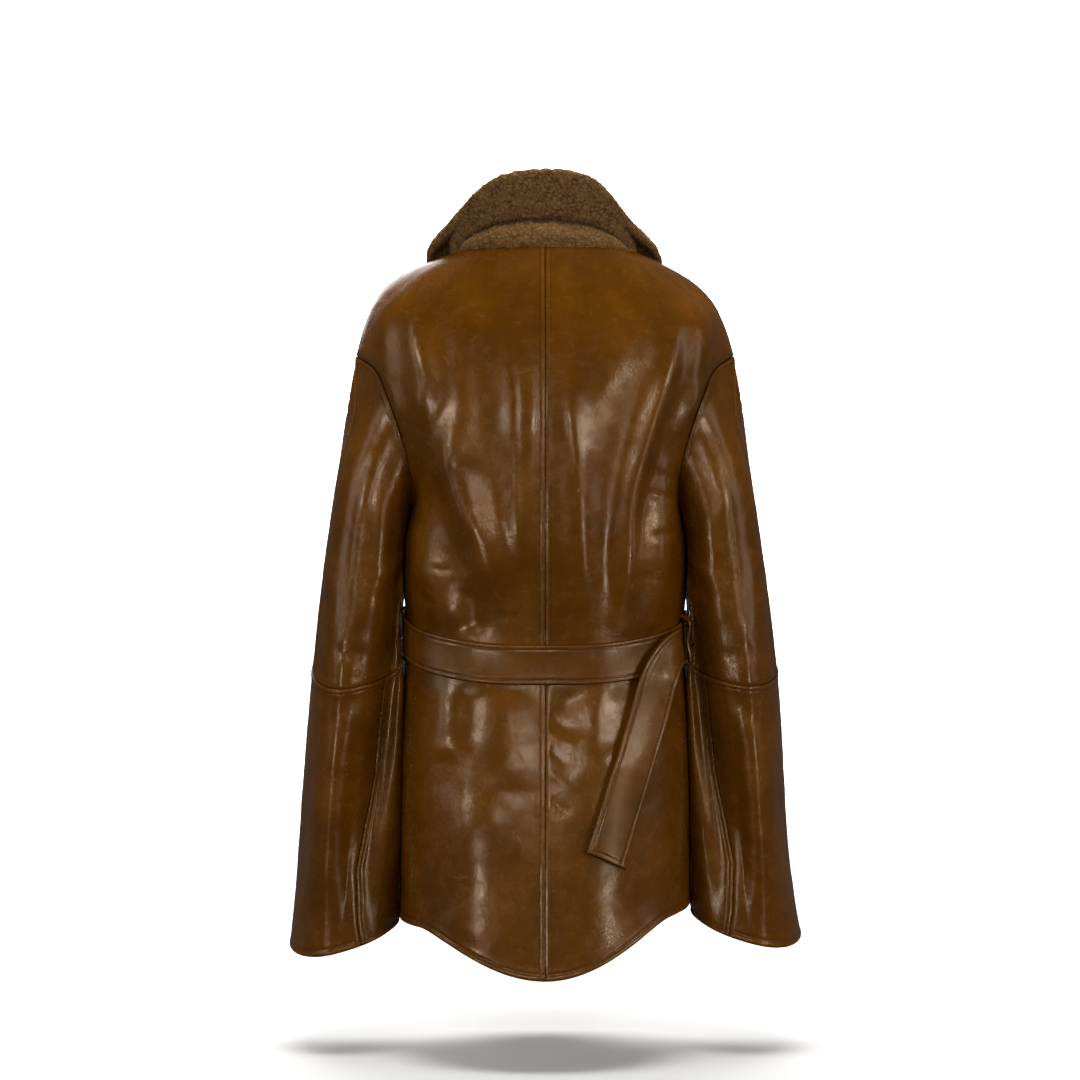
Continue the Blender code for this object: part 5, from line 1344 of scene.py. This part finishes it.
def make_belt_end(sizes):
    """The end of the belt that hangs down the right of the back."""
    cloud, normals = body_cloud(coarse_quarters(sizes), -1)
    rows = np.linspace(0, len(BELT_END) - 1, END_ROWS)
    read = curve(np.arange(len(BELT_END)), BELT_END, rows)
    x, z, lean, half, off = (read[:, k : k + 1] for k in range(5))
    share = np.linspace(-1.0, 1.0, END_COLUMNS)[None]
    across = np.radians(lean)
    grid = np.stack([x + share * half * np.cos(across), np.full((END_ROWS, END_COLUMNS), 0.10),
                     z - share * half * np.sin(across)], axis=2)
    grid[-1, :, 0] -= END_SLANT * np.sin(across[-1]) * share[0]
    grid[-1, :, 2] += END_SLANT * np.cos(across[-1]) * share[0]
    # It is pushed off the back, step by step, to lie as far off it as it should.
    for _ in range(6):
        away = grid[:, :, None] - cloud
        weight = np.exp(-(away[..., [0, 2]] ** 2).sum(axis=3) / 0.013**2)
        behind = weight * (normals[:, 1] > 0.1)
        way = unit((behind[..., None] * normals).sum(axis=2))
        height = (behind * (away * normals).sum(axis=3)).sum(axis=2) / behind.sum(axis=2)
        grid[..., 1] += (off - height) / np.maximum(way[..., 1], 0.3)
    length = arcs(grid, 0)[-1].mean()
    column, row = np.meshgrid(crowded(BELT_WIDTH, BELT_SPACING), crowded(length, sizes.spacing, low=False))
    knots = arcs(grid, 0).mean(axis=1)
    inner = sample(grid, np.interp(row * length, knots, np.arange(END_ROWS)), column * (END_COLUMNS - 1))
    ways = grid_normals(inner)
    ways = ways * np.sign(ways[..., 1:2])
    crown = 0.6 * MM * (1 - (2 * column - 1) ** 2)
    face = inner + ways * (BELT_FACE + crown)[..., None]
    height, nearest = seam_relief(face, ("bound", "bound", None, "bound"))
    outer = face + ways * height[..., None]
    belt = coat_materials()["folded_belt_leather"]
    piece = wall_mesh("tie_belt_end", outer, inner, [belt], {"seam_mm": nearest / MM})
    declare(["belt_end"])
    SEWING.follow(outer, ways, ("bound", "bound", None, "bound"))


# --- Stitches ----------------------------------------------------------------------------------------
STITCH_CORE, STITCH_END = 0.62, 0.19   # shares of a stitch's length
END_TAPER = 0.45
STITCH_RISE, STITCH_BOW = 0.10, 0.25   # shares of the thread's thickness


def stitch_mould(sizes):
    """One stitch, modelled as a short thread with rounded ends along X: its points and faces."""
    bpy.ops.object.select_all(action="DESELECT")
    bpy.ops.mesh.primitive_cylinder_add(vertices=6, radius=sizes.thread / 2, rotation=(0.0, math.pi / 2, 0.0),
                                        depth=sizes.stitch_length * STITCH_CORE)
    bpy.ops.object.transform_apply(location=True, rotation=True, scale=True)
    made = bpy.context.object
    bpy.ops.object.mode_set(mode="EDIT")
    bpy.ops.mesh.select_mode(type="FACE")
    for way in (1, -1):
        bpy.ops.mesh.select_all(action="DESELECT")
        bpy.ops.object.mode_set(mode="OBJECT")
        for face in made.data.polygons:
            face.select = face.normal.x * way > 0.9
        bpy.ops.object.mode_set(mode="EDIT")
        move = {"value": (way * sizes.stitch_length * STITCH_END, 0, 0)}
        bpy.ops.mesh.extrude_region_move(TRANSFORM_OT_translate=move)
        bpy.ops.transform.resize(value=(1.0, END_TAPER, END_TAPER))
    bpy.ops.mesh.select_all(action="SELECT")
    bpy.ops.mesh.quads_convert_to_tris()
    bpy.ops.object.mode_set(mode="OBJECT")
    points = np.array([v.co[:] for v in made.data.vertices])
    faces = np.array([p.vertices[:] for p in made.data.polygons])
    bpy.data.objects.remove(made)
    return points, faces


def sew(sizes):
    """Copies the stitch along every line of sewing into one mesh of thread."""
    mould, faces = stitch_mould(sizes)
    bow = STITCH_BOW * sizes.thread * (2 * mould[:, 0] / sizes.stitch_length) ** 2
    arch = mould[:, 2] + STITCH_RISE * sizes.thread - bow
    all_points = []
    for line, up in SEWING.lines:
        run = run_along(line)
        count = int(run[-1] / sizes.stitch_pitch)
        if count < 2:
            continue
        places = (np.arange(count) + 0.5) * run[-1] / count
        at = read_along(places, run, line)
        tangent = unit(read_along(places + 1 * MM, run, line) - read_along(places - 1 * MM, run, line))
        beside = unit(np.cross(read_along(places, run, up), tangent))
        out = np.cross(tangent, beside)
        all_points.append(at[:, None] + tangent[:, None] * mould[:, :1] + beside[:, None] * mould[:, 1:2]
                          + out[:, None] * arch[:, None])
    points = np.concatenate(all_points)
    count = len(mould)
    joined = (np.arange(len(points))[:, None, None] * count + faces[None]).reshape(-1, 3)
    piece = new_piece("topstitching", points.reshape(-1, 3), joined, [coat_materials()["bonded_thread"]])


# --- Stage -------------------------------------------------------------------------------------------
FLOOR_Z = -0.86
FLOOR_SIZE, BACKDROP_HEIGHT, COVE = 14.0, 6.0, 2.2
CAMERA_DISTANCE = 3.2
PICTURE_WIDTH = 1.1772   # metres across the picture at the coat's middle
PICTURE_MIDDLE = (0.00545, -0.303)
SENSOR = 36.0
COAT_MIDDLE = (0.0, 0.0, -0.30)
WORLD_STRENGTH = 0.08


def make_floor(colours):
    """A pale floor that curves up into a backdrop beyond the coat."""
    bpy.ops.object.select_all(action="DESELECT")
    bpy.ops.mesh.primitive_plane_add(size=FLOOR_SIZE, location=(0.0, 2.0, FLOOR_Z))
    floor = bpy.context.object
    floor.name = "studio_floor"
    bpy.ops.object.mode_set(mode="EDIT")
    bpy.ops.mesh.select_all(action="DESELECT")
    bpy.ops.mesh.select_mode(type="EDGE")
    bpy.ops.object.mode_set(mode="OBJECT")
    for edge in floor.data.edges:
        ends = [floor.data.vertices[v].co.y for v in edge.vertices]
        edge.select = max(ends) < 0.1 - FLOOR_SIZE / 2
    bpy.ops.object.mode_set(mode="EDIT")
    bpy.ops.mesh.extrude_region_move(TRANSFORM_OT_translate={"value": (0.0, 0.0, BACKDROP_HEIGHT)})
    bpy.ops.object.mode_set(mode="OBJECT")
    bend = floor.modifiers.new("cove", "BEVEL")
    bend.width, bend.segments, bend.limit_method = COVE, 24, "ANGLE"
    bpy.ops.object.modifier_apply(modifier="cove")
    bpy.ops.object.transform_apply(location=True, rotation=True, scale=True)
    floor.data.shade_smooth()
    floor.data.materials.clear()
    floor.data.materials.append(floor_material(colours))
    # The leather mirrors dark surroundings in the photograph, so the floor neither lights it nor shows in it.
    floor.visible_glossy = False
    floor.visible_diffuse = False


def add_light(name, place, aim, size, power, shows=True):
    """A lamp that shines from its place at a point. shows: it can be seen in the leather's gloss."""
    light = bpy.data.lights.new(name, "AREA")
    light.shape, light.size, light.size_y = "RECTANGLE", size[0], size[1]
    light.energy = power
    lamp = bpy.data.objects.new(name, light)
    lamp.visible_glossy = shows
    away = np.array(place) - np.array(aim)
    flat = math.hypot(away[0], away[1])
    lamp.location = place
    lamp.rotation_euler = (math.atan2(flat, away[2]), 0.0, math.atan2(away[0], -away[1]))
    bpy.context.scene.collection.objects.link(lamp)


def make_stage(colours):
    make_floor(colours)
    camera = bpy.data.cameras.new("camera")
    camera.sensor_width, camera.lens = SENSOR, SENSOR * CAMERA_DISTANCE / PICTURE_WIDTH
    camera.clip_end = 50.0
    viewer = bpy.data.objects.new("camera", camera)
    viewer.location = (PICTURE_MIDDLE[0], CAMERA_DISTANCE, PICTURE_MIDDLE[1])
    viewer.rotation_euler = (math.pi / 2, 0.0, math.pi)
    scene = bpy.context.scene
    scene.collection.objects.link(viewer)
    scene.camera = viewer
    world = bpy.data.worlds.new("studio")
    world.use_nodes = True
    sky = world.node_tree.nodes["Background"].inputs
    sky["Color"].default_value = grey(1.0)
    sky["Strength"].default_value = WORLD_STRENGTH
    scene.world = world
    # The upper lights shine on the yoke's folds and under the belt, the lower ones on the middle of the back.
    add_light("softbox_left", (2.30, 1.40, 0.30), COAT_MIDDLE, (0.40, 0.50), 11.0)
    add_light("softbox_right", (-2.20, 1.60, 0.25), COAT_MIDDLE, (0.35, 0.50), 12.0)
    add_light("softbox_centre", (0.60, 3.00, 0.32), COAT_MIDDLE, (0.24, 0.36), 6.0)
    add_light("low_left", (1.65, 2.35, -0.79), COAT_MIDDLE, (0.50, 0.11), 9.0)
    add_light("low_right", (-1.85, 2.15, -0.79), COAT_MIDDLE, (0.45, 0.11), 8.0)
    add_light("streak_left", (-0.16, 3.05, 0.28), COAT_MIDDLE, (0.12, 0.32), 9.0)
    add_light("streak_right", (-1.85, 2.10, 0.20), COAT_MIDDLE, (0.20, 0.30), 6.0)
    add_light("strip_left", (2.1, 0.5, 0.3), COAT_MIDDLE, (0.3, 1.6), 4.0)
    add_light("strip_right", (-2.1, 0.5, 0.3), COAT_MIDDLE, (0.3, 1.6), 4.0)
    add_light("overhead", (0.0, 0.8, 2.2), COAT_MIDDLE, (1.6, 0.9), 54.0, False)
    add_light("front_fill", (0.6, -2.6, 1.0), COAT_MIDDLE, (1.8, 1.4), 20.0)
    add_light("backdrop_wash", (0.0, -2.0, 2.6), (0.0, -6.0, 0.6), (4.0, 1.2), 420.0, False)
    add_light("floor_wash", (0.0, -1.4, 2.8), (0.0, -3.2, -0.8), (4.0, 2.0), 190.0, False)
    scene.view_settings.view_transform = "Standard"


# --- Operators ---------------------------------------------------------------------------------------
class COAT_OT_stage(bpy.types.Operator):
    """Sets the pale floor, the soft lights and the camera"""
    bl_idname = "coat.stage"
    bl_label = "Stage"

    def execute(self, context):
        make_stage(context.scene.coat_colours)
        return {"FINISHED"}


class COAT_OT_body(bpy.types.Operator):
    """Cuts the two backs and the two fronts"""
    bl_idname = "coat.body"
    bl_label = "Body panels"

    def execute(self, context):
        make_body(context.scene.coat_sizes)
        return {"FINISHED"}


class COAT_OT_sleeves(bpy.types.Operator):
    """Cuts the four pieces of each sleeve"""
    bl_idname = "coat.sleeves"
    bl_label = "Sleeves"

    def execute(self, context):
        make_sleeves(context.scene.coat_sizes)
        return {"FINISHED"}


class COAT_OT_collar(bpy.types.Operator):
    """Makes the fleece collar and its stand"""
    bl_idname = "coat.collar"
    bl_label = "Collar"

    def execute(self, context):
        make_collar(context.scene.coat_sizes)
        return {"FINISHED"}


class COAT_OT_belt(bpy.types.Operator):
    """Ties the belt and sews its carriers"""
    bl_idname = "coat.belt"
    bl_label = "Belt"

    def execute(self, context):
        make_belt(context.scene.coat_sizes)
        return {"FINISHED"}


class COAT_OT_topstitch(bpy.types.Operator):
    """Sews the topstitching along the seams, hems and belt"""
    bl_idname = "coat.topstitch"
    bl_label = "Topstitching"

    def execute(self, context):
        sew(context.scene.coat_sizes)
        return {"FINISHED"}


class COAT_PT_panel(bpy.types.Panel):
    """Steps and settings of the coat"""
    bl_idname = "COAT_PT_panel"
    bl_label = "Coat"
    bl_space_type = "VIEW_3D"
    bl_region_type = "UI"
    bl_category = "Coat"

    def draw(self, context):
        for step in STEPS:
            self.layout.operator(step.bl_idname)
        for group in (context.scene.coat_sizes, context.scene.coat_colours):
            for word in group.__annotations__:
                self.layout.prop(group, word)


STEPS = (COAT_OT_stage, COAT_OT_body, COAT_OT_sleeves, COAT_OT_collar, COAT_OT_belt, COAT_OT_topstitch)
CLASSES = (CoatSizes, CoatColours, *STEPS, COAT_PT_panel)


def register():
    for each in CLASSES:
        bpy.utils.register_class(each)
    bpy.types.Scene.coat_sizes = PointerProperty(type=CoatSizes)
    bpy.types.Scene.coat_colours = PointerProperty(type=CoatColours)


def unregister():
    del bpy.types.Scene.coat_sizes
    del bpy.types.Scene.coat_colours
    for each in reversed(CLASSES):
        bpy.utils.unregister_class(each)


def main():
    register()
    bpy.ops.coat.stage()
    bpy.ops.coat.body()
    bpy.ops.coat.sleeves()
    bpy.ops.coat.collar()
    bpy.ops.coat.belt()
    bpy.ops.coat.topstitch()


if __name__ == "__main__":
    main()
